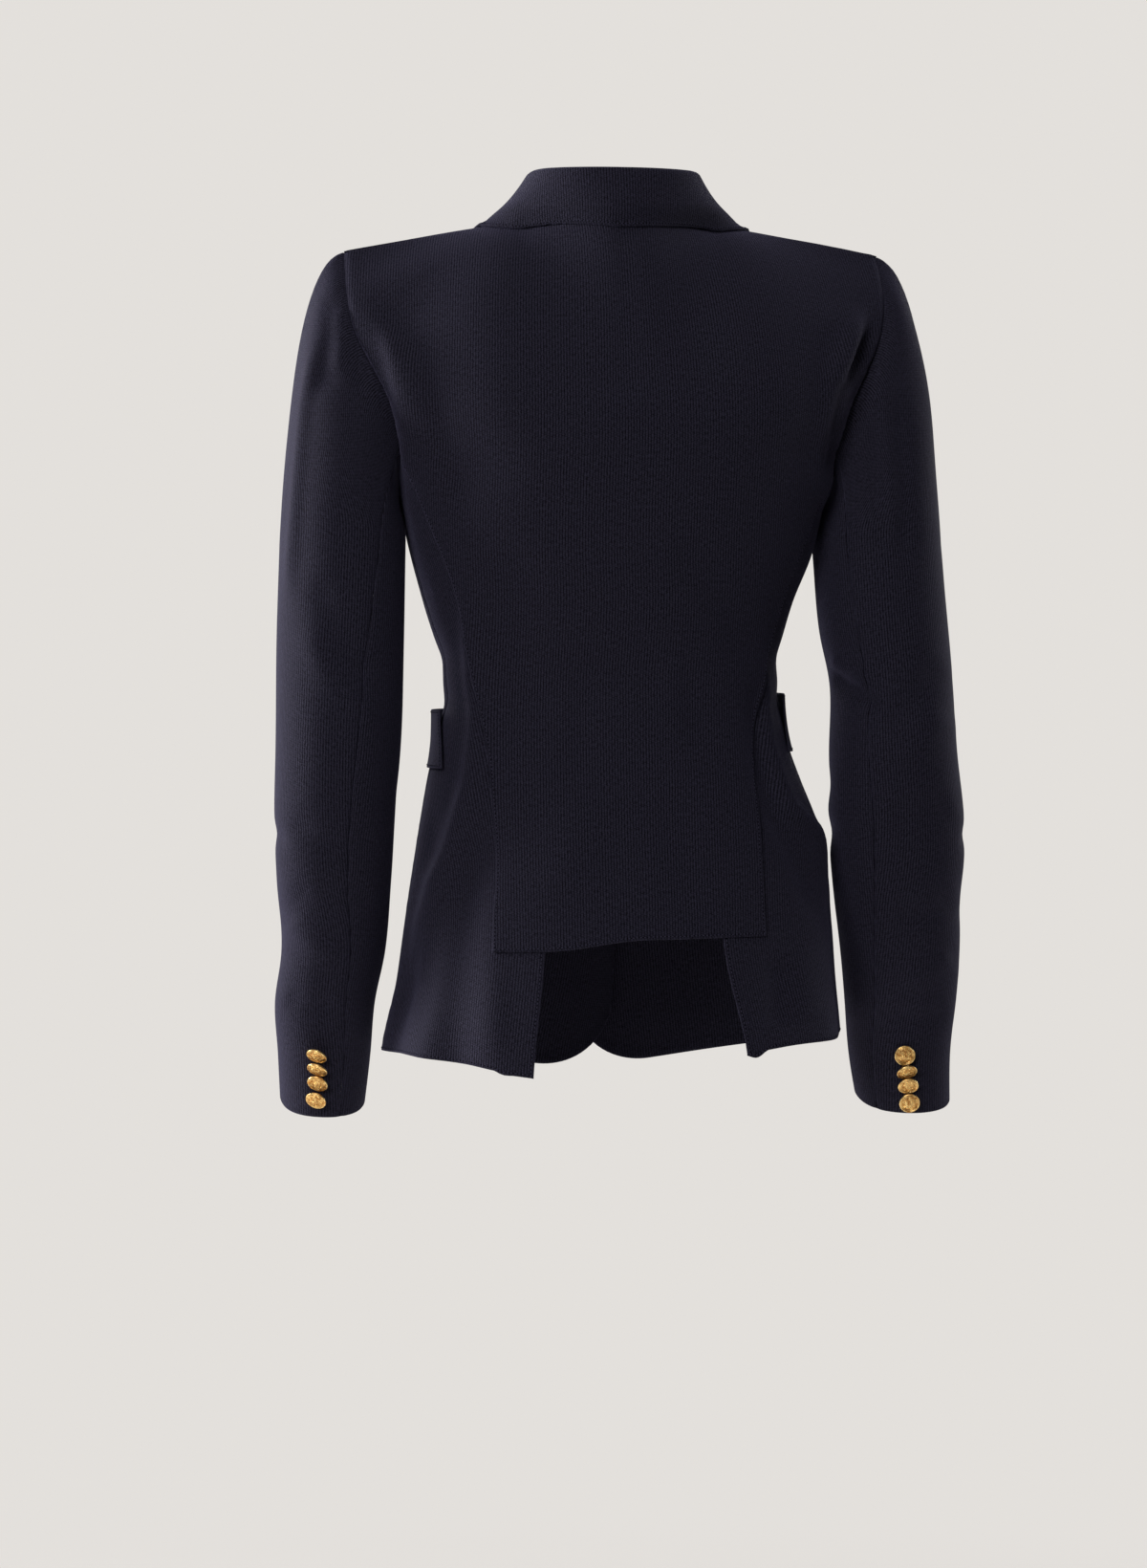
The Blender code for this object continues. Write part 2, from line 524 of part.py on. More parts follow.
def join_seams(pieces):
    """Where pieces share a point, their walls meet on the plane halfway between them."""
    borders = []
    for piece in pieces:
        rows, columns = piece.points.shape[:2]
        borders += [(piece, i, j) for i in range(rows) for j in range(columns)
                    if i in (0, rows - 1) or j in (0, columns - 1)]
    points = np.array([piece.points[i, j] for piece, i, j in borders])
    for point in points:
        near = np.flatnonzero(np.linalg.norm(points - point, axis=1) < SAME_POINT)
        places = [borders[k] for k in near]
        if len({piece.name for piece, _, _ in places}) < 2:
            continue
        total = unit(sum(piece.normals[i, j] for piece, i, j in places))
        for piece, i, j in places:
            lean = max(0.7, float(total @ piece.normals[i, j]))
            piece.inward[i, j] = -total * piece.wall / lean


def keep_off_armhole(piece, rows, columns, towards):
    """At the armhole, a wall's inner edge never leans towards the piece on the other side."""
    part = piece.inward[rows, columns]
    lean = np.clip(part @ towards, 0, None)[..., None]
    part = part - lean * towards
    piece.inward[rows, columns] = unit(part) * piece.wall


def inset(points, inward):
    """Moves the four edges in by half a seam gap, on both faces."""
    outer, inner = points.copy(), points + inward
    for grid in (outer, inner):
        for rows, near in ((0, 1), (-1, -2)):
            along = unit(np.gradient(grid[rows], axis=0))
            step = grid[near] - grid[rows]
            step = step - np.sum(step * along, axis=1, keepdims=True) * along
            grid[rows] += unit(step) * SEAM_GAP / 2
        for columns, near in ((0, 1), (-1, -2)):
            along = unit(np.gradient(grid[:, columns], axis=0))
            step = grid[:, near] - grid[:, columns]
            step = step - np.sum(step * along, axis=1, keepdims=True) * along
            grid[:, columns] += unit(step) * SEAM_GAP / 2
    return outer, inner


def wall_mesh(piece):
    """The closed wall of a piece: outer face, inner face and the rim between them."""
    outer, inner = inset(piece.points, piece.inward)
    rows, columns = outer.shape[:2]
    mesh = bmesh.new()
    faces = {}
    for face, grid in (("outer", outer), ("inner", inner)):
        faces[face] = [[mesh.verts.new(Vector(grid[i, j])) for j in range(columns)] for i in range(rows)]
    for i in range(rows - 1):
        for j in range(columns - 1):
            corners = [(i, j), (i + 1, j), (i + 1, j + 1), (i, j + 1)]
            falling = np.linalg.norm(outer[i, j] - outer[i + 1, j + 1])
            if falling > np.linalg.norm(outer[i + 1, j] - outer[i, j + 1]):
                corners = corners[1:] + corners[:1]
            for face, verts in faces.items():
                a, b, c, d = (verts[k][m] for k, m in corners)
                for ring in ((a, b, c), (a, c, d)):
                    mesh.faces.new(ring if face == "outer" else ring[::-1])
    rim = [(i, 0) for i in range(rows)] + [(rows - 1, j) for j in range(1, columns)]
    rim += [(i, columns - 1) for i in range(rows - 2, -1, -1)] + [(0, j) for j in range(columns - 2, 0, -1)]
    outside, inside = faces["outer"], faces["inner"]
    for (i, j), (k, m) in zip(rim, rim[1:] + rim[:1]):
        mesh.faces.new([outside[k][m], outside[i][j], inside[i][j], inside[k][m]])
    bmesh.ops.recalc_face_normals(mesh, faces=mesh.faces)
    return mesh


MATERIAL_LOOKS = {
    "cloth": (NAVY, 0.80, 0.0),
    "metal": (GOLD, 0.32, 1.0),
}


def material_for(name, look):
    color, roughness, metallic = MATERIAL_LOOKS[look]
    material = bpy.data.materials.new(name + "_" + look)
    material.use_nodes = True
    shader = material.node_tree.nodes["Principled BSDF"]
    shader.inputs["Base Color"].default_value = (*color, 1.0)
    shader.inputs["Roughness"].default_value = roughness
    shader.inputs["Metallic"].default_value = metallic
    return material


def add_object(name, mesh, look, smooth_shaded=True):
    data = bpy.data.meshes.new(name)
    mesh.to_mesh(data)
    mesh.free()
    data.materials.append(material_for(name, look))
    if smooth_shaded:
        data.shade_smooth()
        data.set_sharp_from_angle(angle=math.radians(40))
    thing = bpy.data.objects.new(name, data)
    bpy.context.scene.collection.objects.link(thing)
    return thing


def surface_tree(pieces):
    """The outer faces of some pieces, for resting others on them."""
    verts, polys = [], []
    for piece in pieces:
        rows, columns = piece.points.shape[:2]
        base = len(verts)
        verts += [Vector(p) for p in piece.points.reshape(-1, 3)]
        for i in range(rows - 1):
            for j in range(columns - 1):
                a = base + i * columns + j
                ring = [a, a + columns, a + columns + 1, a + 1]
                polys.append(ring[::-1] if piece.turned else ring)
    return BVHTree.FromPolygons(verts, polys)


def rest_on(tree, points, wall, seat, gap=LAYER_GAP):
    """Pushes points out clear of a surface, and brings those marked in `seat` down on it."""
    flat = points.reshape(-1, 3)
    down = seat.reshape(-1)
    gaps = np.broadcast_to(gap, seat.shape).reshape(-1)
    for k, point in enumerate(flat):
        near, normal, _, _ = tree.find_nearest(Vector(point))
        height = (Vector(point) - near).dot(normal)
        if down[k]:
            flat[k] = np.array(near + normal * (wall + gaps[k]))
        elif height < wall + max(COLLAR_GAP, gaps[k]) and (Vector(point) - near).length < NEAR_CLOTH:
            flat[k] = np.array(near + normal * (wall + COLLAR_GAP))
    return flat.reshape(points.shape)


def body_pieces():
    rows_high = 1 + np.array(ROWS_HIGH)
    back_rows = np.concatenate([np.linspace(0, 1, ROWS_LOW), rows_high[1:]])
    shoulder = mix(NECK_SHARE, 1.0, np.linspace(0, 1, 11))
    back_columns = np.concatenate([-shoulder[::-1], np.linspace(-NECK_SHARE, NECK_SHARE, 7)[1:-1], shoulder])
    pieces = [Piece("back", back_point(back_columns[None, :], back_rows[:, None]), outside=(0, 0, -0.25))]
    front_rows = np.concatenate([np.linspace(0, FRONT_TURN, ROWS_LOW), [0.92, 0.96], rows_high])
    front_columns = np.linspace(0, 1, 11)
    for side in SIDES:
        across = np.concatenate([np.linspace(-1, 0, 4), np.linspace(0, 1, 5)[1:]])
        grid = side_back_point(side, across[None, :], np.linspace(0, 1, ROWS_LOW)[:, None])
        pieces.append(Piece("side_back_" + side, grid, outside=(0, 0, -0.4)))
        grid = front_point(side, front_columns[None, :], front_rows[:, None])
        pieces.append(Piece("front_" + side, grid, outside=(0, 0, -0.3)))
    return pieces


def sleeve_pieces(side):
    top, under = armhole_loop(side, 4, 3)
    tab = SLEEVE[side]

    def top_angles(z):
        back = read(tab, "seam", z)
        return mix(back, FRONT_ARM_SEAM, np.linspace(0, 1, len(top)))

    def under_angles(z):
        back = read(tab, "seam", z) + 360.0
        return mix(FRONT_ARM_SEAM, back, np.linspace(0, 1, len(under)))

    middle = (SIDES[side] * 0.208, 0.0, -0.35)
    return [
        Piece("top_sleeve_" + side, sleeve_panel(side, top, top_angles, 6, 11), outside=middle),
        Piece("under_sleeve_" + side, sleeve_panel(side, under, under_angles, 6, 11), outside=middle),
    ]


def lapel_point(side, u, v):
    """A point of a front, u of the lapel's width away from the roll line."""
    width = np.maximum(LAPEL_LEAST, read(LAPEL_WIDTH, "width", v, by="up"))
    return front_point(side, 1 - width * u / ROW_LENGTH, v)


def lapel_piece(side, tree):
    u = np.linspace(0, 1, 7)[None, :]
    front_rows = np.array([0.80, FRONT_TURN, 0.92, 0.96, 1.0, 1.15, 1.30, 1.45, 1.60])
    rows = np.concatenate([[LAPEL_START[side]], front_rows[front_rows > LAPEL_START[side] + 0.02]])
    v = np.concatenate([rows[:, None] + 0 * u, GORGE - GORGE_DROP * u])
    grid = lapel_point(side, u, v)
    grid = rest_on(tree, grid, COLLAR_CLOTH, np.ones(grid.shape[:2], bool))
    return Piece("lapel_" + side, grid, wall=COLLAR_CLOTH, outside=(0, 0, -0.3))


def neck_seam(t):
    """The body's neck edge from the right gorge (-1) by the nape (0) to the left gorge (1)."""
    side = "left" if t >= 0 else "right"
    reach = abs(t)
    if reach <= COLLAR_SHOULDER:
        point = back_point(SIDES[side] * NECK_SHARE * reach / COLLAR_SHOULDER, 2.0)
        before = point * (1.1, 1.1, 1)
    else:
        down = (reach - COLLAR_SHOULDER) / (1 - COLLAR_SHOULDER)
        point, before = (front_point(side, s, mix(2.0, GORGE, down)) for s in (1.0, 0.93))
    point, before = point.reshape(3), before.reshape(3)
    return point + unit(point - before) * (COLLAR_CLOTH + LAYER_GAP) + np.array([0, 0, 0.0011])


def collar_curve(t, mark):
    """A point of the collar's roll line ("k") or of its outer edge ("f")."""
    x, y, z = (read(COLLAR, mark + axis, abs(t), by="along") for axis in "xyz")
    return np.array([x if t >= 0 else -x, y, z])


def square_to(vector, *others):
    """The vector's part at right angles to some unit vectors, made one long."""
    for other in others:
        vector = vector - other * (vector @ other)
    return unit(vector)


def collar_section(t):
    """A section of the collar: up the stand, round the roll line and down the fall."""
    side = "left" if t >= 0 else "right"
    near_end = float(ease((abs(t) - 0.86) / 0.14))
    gorge = lapel_point(side, COLLAR_END, GORGE - GORGE_DROP * COLLAR_END).reshape(3)
    edge = mix(collar_curve(t, "f"), gorge + np.array([0, 0, 0.0022]), near_end)
    off_panel = unit(np.array([SIDES[side] * 0.25, -0.80, 0.50]))
    neck = neck_seam(t)
    roll = mix(collar_curve(t, "k"), neck + off_panel * (ROLL_RADIUS + 0.0015), near_end)
    neck = neck - off_panel * 0.0020 * near_end
    run = unit(collar_curve(min(t + 0.02, 1.0), "k") - collar_curve(max(t - 0.02, -1.0), "k"))
    rise = square_to(roll - neck, run)
    away = square_to(edge - roll, run, rise)
    center = roll + (away - rise) * ROLL_RADIUS
    foot = roll - rise * ROLL_RADIUS
    to_edge = np.array([(edge - center) @ away, (edge - center) @ rise])
    touch = math.atan2(to_edge[1], to_edge[0]) + math.acos(min(1.0, ROLL_RADIUS / np.linalg.norm(to_edge)))
    points = [mix(neck, foot, u) for u in (0.0, 0.5)]
    for u in (0.0, 0.25, 0.5, 0.75, 1.0):
        turn = mix(math.pi, touch, u)
        points.append(center + (away * math.cos(turn) + rise * math.sin(turn)) * ROLL_RADIUS)
    last = points[-1]
    out = away * math.cos(touch) + rise * math.sin(touch)
    bulge = read(COLLAR_HOLLOW, "bulge", abs(t), by="along")
    points += [mix(last, edge, u) + out * bulge * math.sin(math.pi * u) for u in (0.25, 0.5, 0.75, 1.0)]
    return np.array(points)


def collar_piece(tree):
    half = np.array([0.1, 0.2, 0.3, 0.4, 0.48, 0.53, 0.56, 0.59, 0.62, 0.67, 0.73, 0.80, 0.87, 0.94, 1.0])
    along = np.concatenate([-half[::-1], [0.0], half])
    grid = np.array([collar_section(t) for t in along])
    seat = np.zeros(grid.shape[:2], bool)
    seat[:, -1] = True
    seat[(0, -1), -4:] = True
    gap = COLLAR_GAP + RIDGE_LIFT * np.exp(-(((np.abs(along) - COLLAR_SHOULDER) / 0.07) ** 2))[:, None]
    grid[:, -4:] = rest_on(tree, grid[:, -4:], COLLAR_CLOTH, seat[:, -4:], gap)
    return Piece("collar", grid, wall=COLLAR_CLOTH, outside=(0, 0, 0))


def welt_piece(side, tree):
    sign = SIDES[side]
    back_low, back_high, stop = WELT_ANGLES[side]
    ahead = np.linspace(0, 1, 11)[None, :]
    up = np.linspace(0, 1, 5)[:, None]
    angles = mix(mix(back_low, back_high, up), stop, ahead)
    z = WELT_TOP[side] - WELT_HEIGHT * (1 - up) + WELT_RISE * ahead
    gape = WELT_GAPE * up ** 1.6 * np.sin(math.pi * (ahead * 0.9 + 0.06)) ** 0.6
    grid = body_point(sign * angles, z, CLOTH + LAYER_GAP + gape)
    seat = np.zeros(grid.shape[:2], bool)
    seat[0] = True
    return Piece("pocket_welt_" + side, rest_on(tree, grid, CLOTH, seat, COLLAR_GAP), outside=(0, 0, -0.38))


def button_profile(radius):
    """Half section of a domed button with a raised rim and a shank, from its top to its shank."""
    return [
        (0.0, 0.30 * radius), (0.42 * radius, 0.26 * radius), (0.74 * radius, 0.16 * radius),
        (0.84 * radius, 0.16 * radius), (0.94 * radius, 0.13 * radius), (1.0 * radius, 0.04 * radius),
        (0.95 * radius, -0.04 * radius), (0.22 * radius, -0.06 * radius),
        (0.22 * radius, -0.26 * radius), (0.0, -0.26 * radius),
    ]


def button_mesh(radius, segments=16):
    mesh = bmesh.new()
    profile = button_profile(radius)
    rings = []
    for out, height in profile:
        if out == 0.0:
            rings.append([mesh.verts.new((0, 0, height))])
            continue
        turns = [2 * math.pi * k / segments for k in range(segments)]
        rings.append([mesh.verts.new((out * math.cos(a), out * math.sin(a), height)) for a in turns])
    for upper, lower in zip(rings, rings[1:]):
        for k in range(segments):
            m = (k + 1) % segments
            ring = [upper[k % len(upper)], lower[k % len(lower)]]
            ring += [lower[m % len(lower)], upper[m % len(upper)]]
            mesh.faces.new(list(dict.fromkeys(ring)))
    bmesh.ops.recalc_face_normals(mesh, faces=mesh.faces)
    return mesh


def place_button(name, radius, point, normal, face, tree):
    """A button that turns its face one way and lies just off the cloth."""
    side = Vector((0, 0, 1)).cross(face).normalized()
    turn = Matrix((side, face.cross(side), face)).transposed()
    mesh = button_mesh(radius)
    lift = 0.30 * radius
    for _ in range(40):
        lowest = 1.0
        for vert in mesh.verts:
            place = point + normal * lift + turn @ vert.co
            near, outward, _, _ = tree.find_nearest(place)
            lowest = min(lowest, (place - near).dot(outward))
        if abs(lowest - BUTTON_GAP) < SAME_POINT:
            break
        lift += BUTTON_GAP - lowest
    mesh.transform(Matrix.Translation(point + normal * lift) @ turn.to_4x4())
    return add_object(name, mesh, "metal")


def cuff_buttons(side, tree):
    behind = Vector((math.sin(DROOP_FROM), math.cos(DROOP_FROM), 0))
    for k, (angle, z, droop, turn) in enumerate(CUFF_BUTTONS[side]):
        point = Vector(sleeve_ring(side, angle, z))
        beside = Vector(sleeve_ring(side, angle + 4.0, z)) - Vector(sleeve_ring(side, angle - 4.0, z))
        below = Vector(sleeve_ring(side, angle, z - 0.006)) - Vector(sleeve_ring(side, angle, z + 0.006))
        normal = below.cross(beside).normalized()
        if normal.y < 0:
            normal = -normal
        down = Matrix.Rotation(math.radians(turn), 3, behind) @ Vector((0, 0, -1))
        face = behind * math.cos(math.radians(droop)) + down * math.sin(math.radians(droop))
        place_button(f"cuff_button_{side}_{k + 1}", BUTTON_RADIUS, point, normal, face, tree)


def front_buttons(tree):
    for k, z in enumerate(FRONT_BUTTON_HEIGHTS):
        point, normal, _, _ = tree.ray_cast(Vector((0.0, -0.4, z)), Vector((0, 1, 0)))
        place_button(f"front_button_{k + 1}", FRONT_BUTTON_RADIUS, point, normal, normal, tree)


def main():
    for thing in list(bpy.data.objects):
        bpy.data.objects.remove(thing, do_unlink=True)
    body = body_pieces()
    join_seams(body)
    named = {piece.name: piece for piece in body}
    pieces = list(body)
    for side, sign in SIDES.items():
        outwards = armhole_outwards(side)
        edge = -1 if sign > 0 else 0
        keep_off_armhole(named["back"], slice(ROWS_LOW - 1, None), edge, outwards)
        keep_off_armhole(named["side_back_" + side], -1, slice(None), outwards)
        keep_off_armhole(named["front_" + side], slice(ROWS_LOW - 1, None), 0, outwards)
        sleeve = sleeve_pieces(side)
        join_seams(sleeve)
        for piece in sleeve:
            keep_off_armhole(piece, 0, slice(None), -outwards)
        pieces += sleeve
    torso = surface_tree([named["back"], named["front_left"], named["front_right"]])
    for side in SIDES:
        front, side_back = named["front_" + side], named["side_back_" + side]
        pieces.append(lapel_piece(side, surface_tree([front])))
        pieces.append(welt_piece(side, surface_tree([front, side_back])))
    pieces.append(collar_piece(torso))
    for piece in pieces:
        add_object(piece.name, wall_mesh(piece), piece.material)
    for side in SIDES:
        tops = [piece for piece in pieces if piece.name == "top_sleeve_" + side]
        cuff_buttons(side, surface_tree(tops))
    front_buttons(surface_tree([named["front_right"]]))


main()
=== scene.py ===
"""Looks of the fitted blazer: cloth shells, sewing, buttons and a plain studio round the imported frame."""
import functools
import math

import bpy
import numpy as np
from mathutils import Matrix, Vector
from mathutils.bvhtree import BVHTree
from mathutils.kdtree import KDTree


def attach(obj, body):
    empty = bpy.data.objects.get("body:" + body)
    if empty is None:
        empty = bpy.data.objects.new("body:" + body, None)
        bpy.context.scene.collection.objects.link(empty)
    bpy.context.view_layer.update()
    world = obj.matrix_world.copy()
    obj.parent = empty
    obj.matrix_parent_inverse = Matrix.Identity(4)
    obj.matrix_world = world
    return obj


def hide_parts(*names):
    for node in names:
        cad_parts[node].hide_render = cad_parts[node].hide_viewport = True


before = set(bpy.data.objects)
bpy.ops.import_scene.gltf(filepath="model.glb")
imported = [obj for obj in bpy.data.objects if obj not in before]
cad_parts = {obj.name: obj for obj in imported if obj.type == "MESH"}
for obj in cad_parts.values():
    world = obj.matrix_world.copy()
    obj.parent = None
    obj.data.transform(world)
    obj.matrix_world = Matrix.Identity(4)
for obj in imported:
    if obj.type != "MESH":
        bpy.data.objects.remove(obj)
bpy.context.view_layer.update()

bl_info = {
    "name": "Fitted Blazer",
    "version": (1, 0, 0),
    "blender": (4, 5, 0),
    "location": "3D View > Sidebar > Blazer",
    "description": "Makes the cloth, sewing, buttons and studio of a fitted blazer",
    "category": "Add Mesh",
}

# Sizes shared with the solids
SEAM_GAP = 0.0003
CLOTH = 0.0016
COLLAR_CLOTH = 0.0016
LAYER_GAP = 0.0009
UNDERLAP_GAP = 0.0008
ROLL_RADIUS = 0.0042
CHEST = -0.168
UNDERARM = -0.200
BICEP = -0.235
ARMHOLE_GAP = 0.0004
WELT_HEIGHT = 0.044
WELT_GAPE = 0.007
SIDES = {"left": 1.0, "right": -1.0}


def table(names, *rows):
    """A table as one array for each named column."""
    return dict(zip(names.split(), np.array(rows, float).T))


# The body tube, one row for each height
BODY = table(
    "height left right back front square",
    (-0.650, 0.178, 0.176, 0.121, 0.118, 2.2),
    (-0.600, 0.171, 0.173, 0.119, 0.115, 2.2),
    (-0.560, 0.162, 0.169, 0.115, 0.112, 2.2),
    (-0.520, 0.156, 0.166, 0.110, 0.109, 2.2),
    (-0.480, 0.150, 0.161, 0.104, 0.105, 2.3),
    (-0.445, 0.145, 0.154, 0.097, 0.101, 2.3),
    (-0.411, 0.139, 0.141, 0.089, 0.098, 2.3),
    (-0.375, 0.131, 0.129, 0.081, 0.096, 2.3),
    (-0.345, 0.1265, 0.124, 0.079, 0.096, 2.3),
    (-0.310, 0.132, 0.126, 0.082, 0.102, 2.3),
    (-0.280, 0.141, 0.134, 0.088, 0.112, 2.3),
    (-0.244, 0.151, 0.149, 0.095, 0.121, 2.3),
    (-0.200, 0.160, 0.159, 0.102, 0.120, 2.4),
    (-0.168, 0.1665, 0.1655, 0.106, 0.113, 2.5),
    (-0.130, 0.171, 0.171, 0.108, 0.104, 2.6),
)
# Seams as distances from the middle of the garment, one row for each height
BACK_SEAM = table(
    "height out",
    (-0.650, 0.1010), (-0.536, 0.1010), (-0.478, 0.0986), (-0.430, 0.0988), (-0.387, 0.1005),
    (-0.351, 0.1055), (-0.313, 0.1130), (-0.270, 0.1255), (-0.229, 0.1410), (-0.190, 0.1550),
    (-0.172, 0.1608), (-0.160, 0.1640),
)
UNDERLAP = table(
    "height left right",
    (-0.650, 0.0760, 0.0900), (-0.610, 0.0730, 0.0855), (-0.535, 0.0650, 0.0690),
    (-0.450, 0.0660, 0.0690), (-0.345, 0.0830, 0.0830), (-0.250, 0.1200, 0.1200),
    (-0.160, 0.1530, 0.1530),
)
FRONT_EDGE = table(
    "height past_middle",
    (-0.650, 0.0080), (-0.580, 0.0150), (-0.500, 0.0180), (-0.420, 0.0180), (-0.325, 0.0180),
    (-0.295, 0.0155), (-0.227, 0.0000), (-0.168, -0.0136),
)
# Angles round the body in degrees: 0 is the middle of the back, 180 the middle of the front
SIDE_SEAM = table("height angle", (-0.650, 93.0), (-0.450, 91.0), (-0.345, 87.0), (UNDERARM, 91.0))
FRONT_ARMHOLE_ANGLE = 109.0
FRONT_TURN = 0.88         # share of a front's height, hem to chest, where the side seam ends
BACK_HEM = table(
    "across height",
    (-1, -0.5249), (-0.45, -0.5262), (0, -0.5275), (0.55, -0.5345), (1, -0.5360),
)
SIDE_HEM = table(
    "forward left right",
    (0.0, -0.6262, -0.6112), (0.25, -0.6245, -0.6128), (0.45, -0.6230, -0.6092), (0.60, -0.6165, -0.6048),
    (0.78, -0.6120, -0.6022), (1.0, -0.6120, -0.5990),
)
FRONT_HEM = table(
    "forward left right",
    (0.0, -0.6120, -0.5990), (0.5, -0.6240, -0.6190), (1.0, -0.6380, -0.6360),
)
FRONT_WIDTH = 0.190       # a front's width at the hem
FRONT_CORNER = 0.055      # radius of the rounded corner of each front
# Soft folds of the body: middle angle and its drift down, heights, half width (degrees), depth
BODY_FOLDS = table(
    "angle drift top bottom width depth",
    (58.0, 10.0, -0.420, -0.700, 7.0, 0.0045),
    (78.0, 4.0, -0.450, -0.700, 7.0, -0.0040),
    (-60.0, -8.0, -0.410, -0.700, 7.0, 0.0040),
    (-79.0, -3.0, -0.440, -0.700, 6.0, -0.0035),
    (124.0, 0.0, -0.430, -0.700, 9.0, 0.0035),
    (-127.0, 0.0, -0.430, -0.700, 9.0, 0.0035),
    (22.0, 4.0, -0.300, -0.440, 9.0, -0.0022),
    (-30.0, -6.0, -0.290, -0.430, 8.0, -0.0020),
)
# Shoulders: the armhole from the chest line (0) to the shoulder tip (1)
SHOULDER_TIP = {"left": (0.2015, 0.000, -0.0182), "right": (-0.2010, 0.000, -0.0150)}
NECK_POINT = (0.072, 0.002, 0.0050)
NAPE = (0.0, 0.056, 0.010)
ROWS_HIGH = (0.0, 0.15, 0.30, 0.45, 0.60, 0.80, 1.0)    # rows of cloth from chest to shoulder
BACK_ARMHOLE = table(
    "up x y z",
    (0.00, 0.1600, 0.0400, -0.1680), (0.24, 0.1725, 0.0520, -0.1335), (0.42, 0.1855, 0.0500, -0.1083),
    (0.60, 0.1970, 0.0420, -0.0814), (0.80, 0.2018, 0.0270, -0.0500), (1.00, 0.2015, 0.0000, -0.0175),
)
FRONT_ARMHOLE = table(
    "up x y z",
    (0.00, 0.1530, -0.0520, -0.1680), (0.24, 0.1600, -0.0660, -0.1330), (0.45, 0.1730, -0.0640, -0.1000),
    (0.68, 0.1890, -0.0480, -0.0620), (0.86, 0.1985, -0.0250, -0.0340), (1.00, 0.2015, 0.0000, -0.0175),
)
# How the back bends over to the shoulder line, from its middle (0) to the armholes (1)
BACK_SLOPE = table(
    "across start forward rise",
    (0.00, 0.170, -0.085, 0.060), (0.25, 0.200, -0.130, 0.035), (0.45, 0.215, -0.160, 0.020),
    (0.70, 0.190, -0.145, 0.020), (1.00, 0.165, -0.125, 0.020),
)
ROLL_EDGE = table(
    "up x y z",
    (0.00, 0.0136, -0.1130, -0.1680), (0.42, 0.0290, -0.1010, -0.1000), (0.74, 0.0430, -0.0790, -0.0440),
    (0.90, 0.0600, -0.0400, -0.0110), (1.00, 0.0720, 0.0020, 0.0050),
)
# Sleeves, one row for each height: middle, half width, half depth, angle of the back-arm seam
SLEEVE = {
    "left": table(
        "height x y half deep seam",
        (-0.665, 0.2134, -0.0560, 0.0305, 0.0400, -15.0), (-0.616, 0.2128, -0.0420, 0.0345, 0.0410, -17.0),
        (-0.578, 0.2131, -0.0300, 0.0373, 0.0425, -17.0), (-0.541, 0.2080, -0.0180, 0.0387, 0.0440, -13.0),
        (-0.486, 0.2088, -0.0020, 0.0422, 0.0475, -9.0), (-0.440, 0.2087, 0.0080, 0.0444, 0.0500, -9.0),
        (-0.390, 0.2064, 0.0120, 0.0462, 0.0520, -11.0), (-0.310, 0.2044, 0.0080, 0.0466, 0.0535, -18.0),
        (BICEP, 0.2020, 0.0000, 0.0466, 0.0560, -26.0),
    ),
    "right": table(
        "height x y half deep seam",
        (-0.665, 0.2336, -0.0560, 0.0345, 0.0400, -43.0), (-0.616, 0.2272, -0.0420, 0.0385, 0.0410, -42.0),
        (-0.578, 0.2250, -0.0300, 0.0418, 0.0425, -38.0), (-0.541, 0.2225, -0.0180, 0.0448, 0.0445, -37.0),
        (-0.486, 0.2177, -0.0020, 0.0488, 0.0480, -33.0), (-0.440, 0.2138, 0.0080, 0.0505, 0.0500, -31.0),
        (-0.390, 0.2108, 0.0120, 0.0475, 0.0520, -32.0), (-0.337, 0.2098, 0.0100, 0.0455, 0.0530, -33.0),
        (-0.300, 0.2048, 0.0080, 0.0478, 0.0535, -34.0),
        (BICEP, 0.2005, 0.0000, 0.0476, 0.0560, -36.0),
    ),
}
FRONT_ARM_SEAM = 212.0
CUFF = {"left": -0.6625, "right": -0.6640}
CUFF_RISE = 0.022         # the cuff's front edge is this much higher than its back edge
# Creases of the sleeves: side, angle, height, half widths in degrees and metres, depth
SLEEVE_FOLDS = table(
    "side angle height across along depth",
    (1, 235.0, -0.420, 30.0, 0.012, -0.0030), (1, 215.0, -0.455, 26.0, 0.011, -0.0026),
    (1, -20.0, -0.330, 30.0, 0.022, -0.0016), (1, 60.0, -0.520, 34.0, 0.020, -0.0016),
    (-1, 235.0, -0.415, 30.0, 0.012, -0.0032), (-1, 260.0, -0.450, 26.0, 0.011, -0.0028),
    (-1, -45.0, -0.335, 26.0, 0.014, -0.0024), (-1, 70.0, -0.500, 34.0, 0.020, -0.0016),
)
# Collar from the middle of the back (0) to the gorge (1): roll line and outer edge
COLLAR = table(
    "along kx ky kz fx fy fz",
    (0.00, 0.000, 0.0585, 0.0385, 0.000, 0.0780, -0.0095),
    (0.22, 0.031, 0.0520, 0.0395, 0.046, 0.0540, -0.0035),
    (0.42, 0.0535, 0.0290, 0.0410, 0.086, 0.0250, -0.0010),
    (0.56, 0.0580, 0.0010, 0.0400, 0.104, 0.0020, -0.0010),
    (0.74, 0.0570, -0.0320, 0.0240, 0.114, -0.0400, -0.0170),
    (0.88, 0.0510, -0.0590, -0.0040, 0.113, -0.0620, -0.0360),
    (1.00, 0.0440, -0.0810, -0.0400, 0.104, -0.0720, -0.0560),
)
COLLAR_SHOULDER = 0.56    # where the collar's neck seam passes the neck point
COLLAR_HOLLOW = table("along bulge", (0.0, 0.0020), (0.3, 0.0), (0.56, -0.0035), (0.8, -0.0010), (1.0, 0.0))
COLLAR_END = 0.70         # the collar's end, as a share of the lapel's width at the gorge
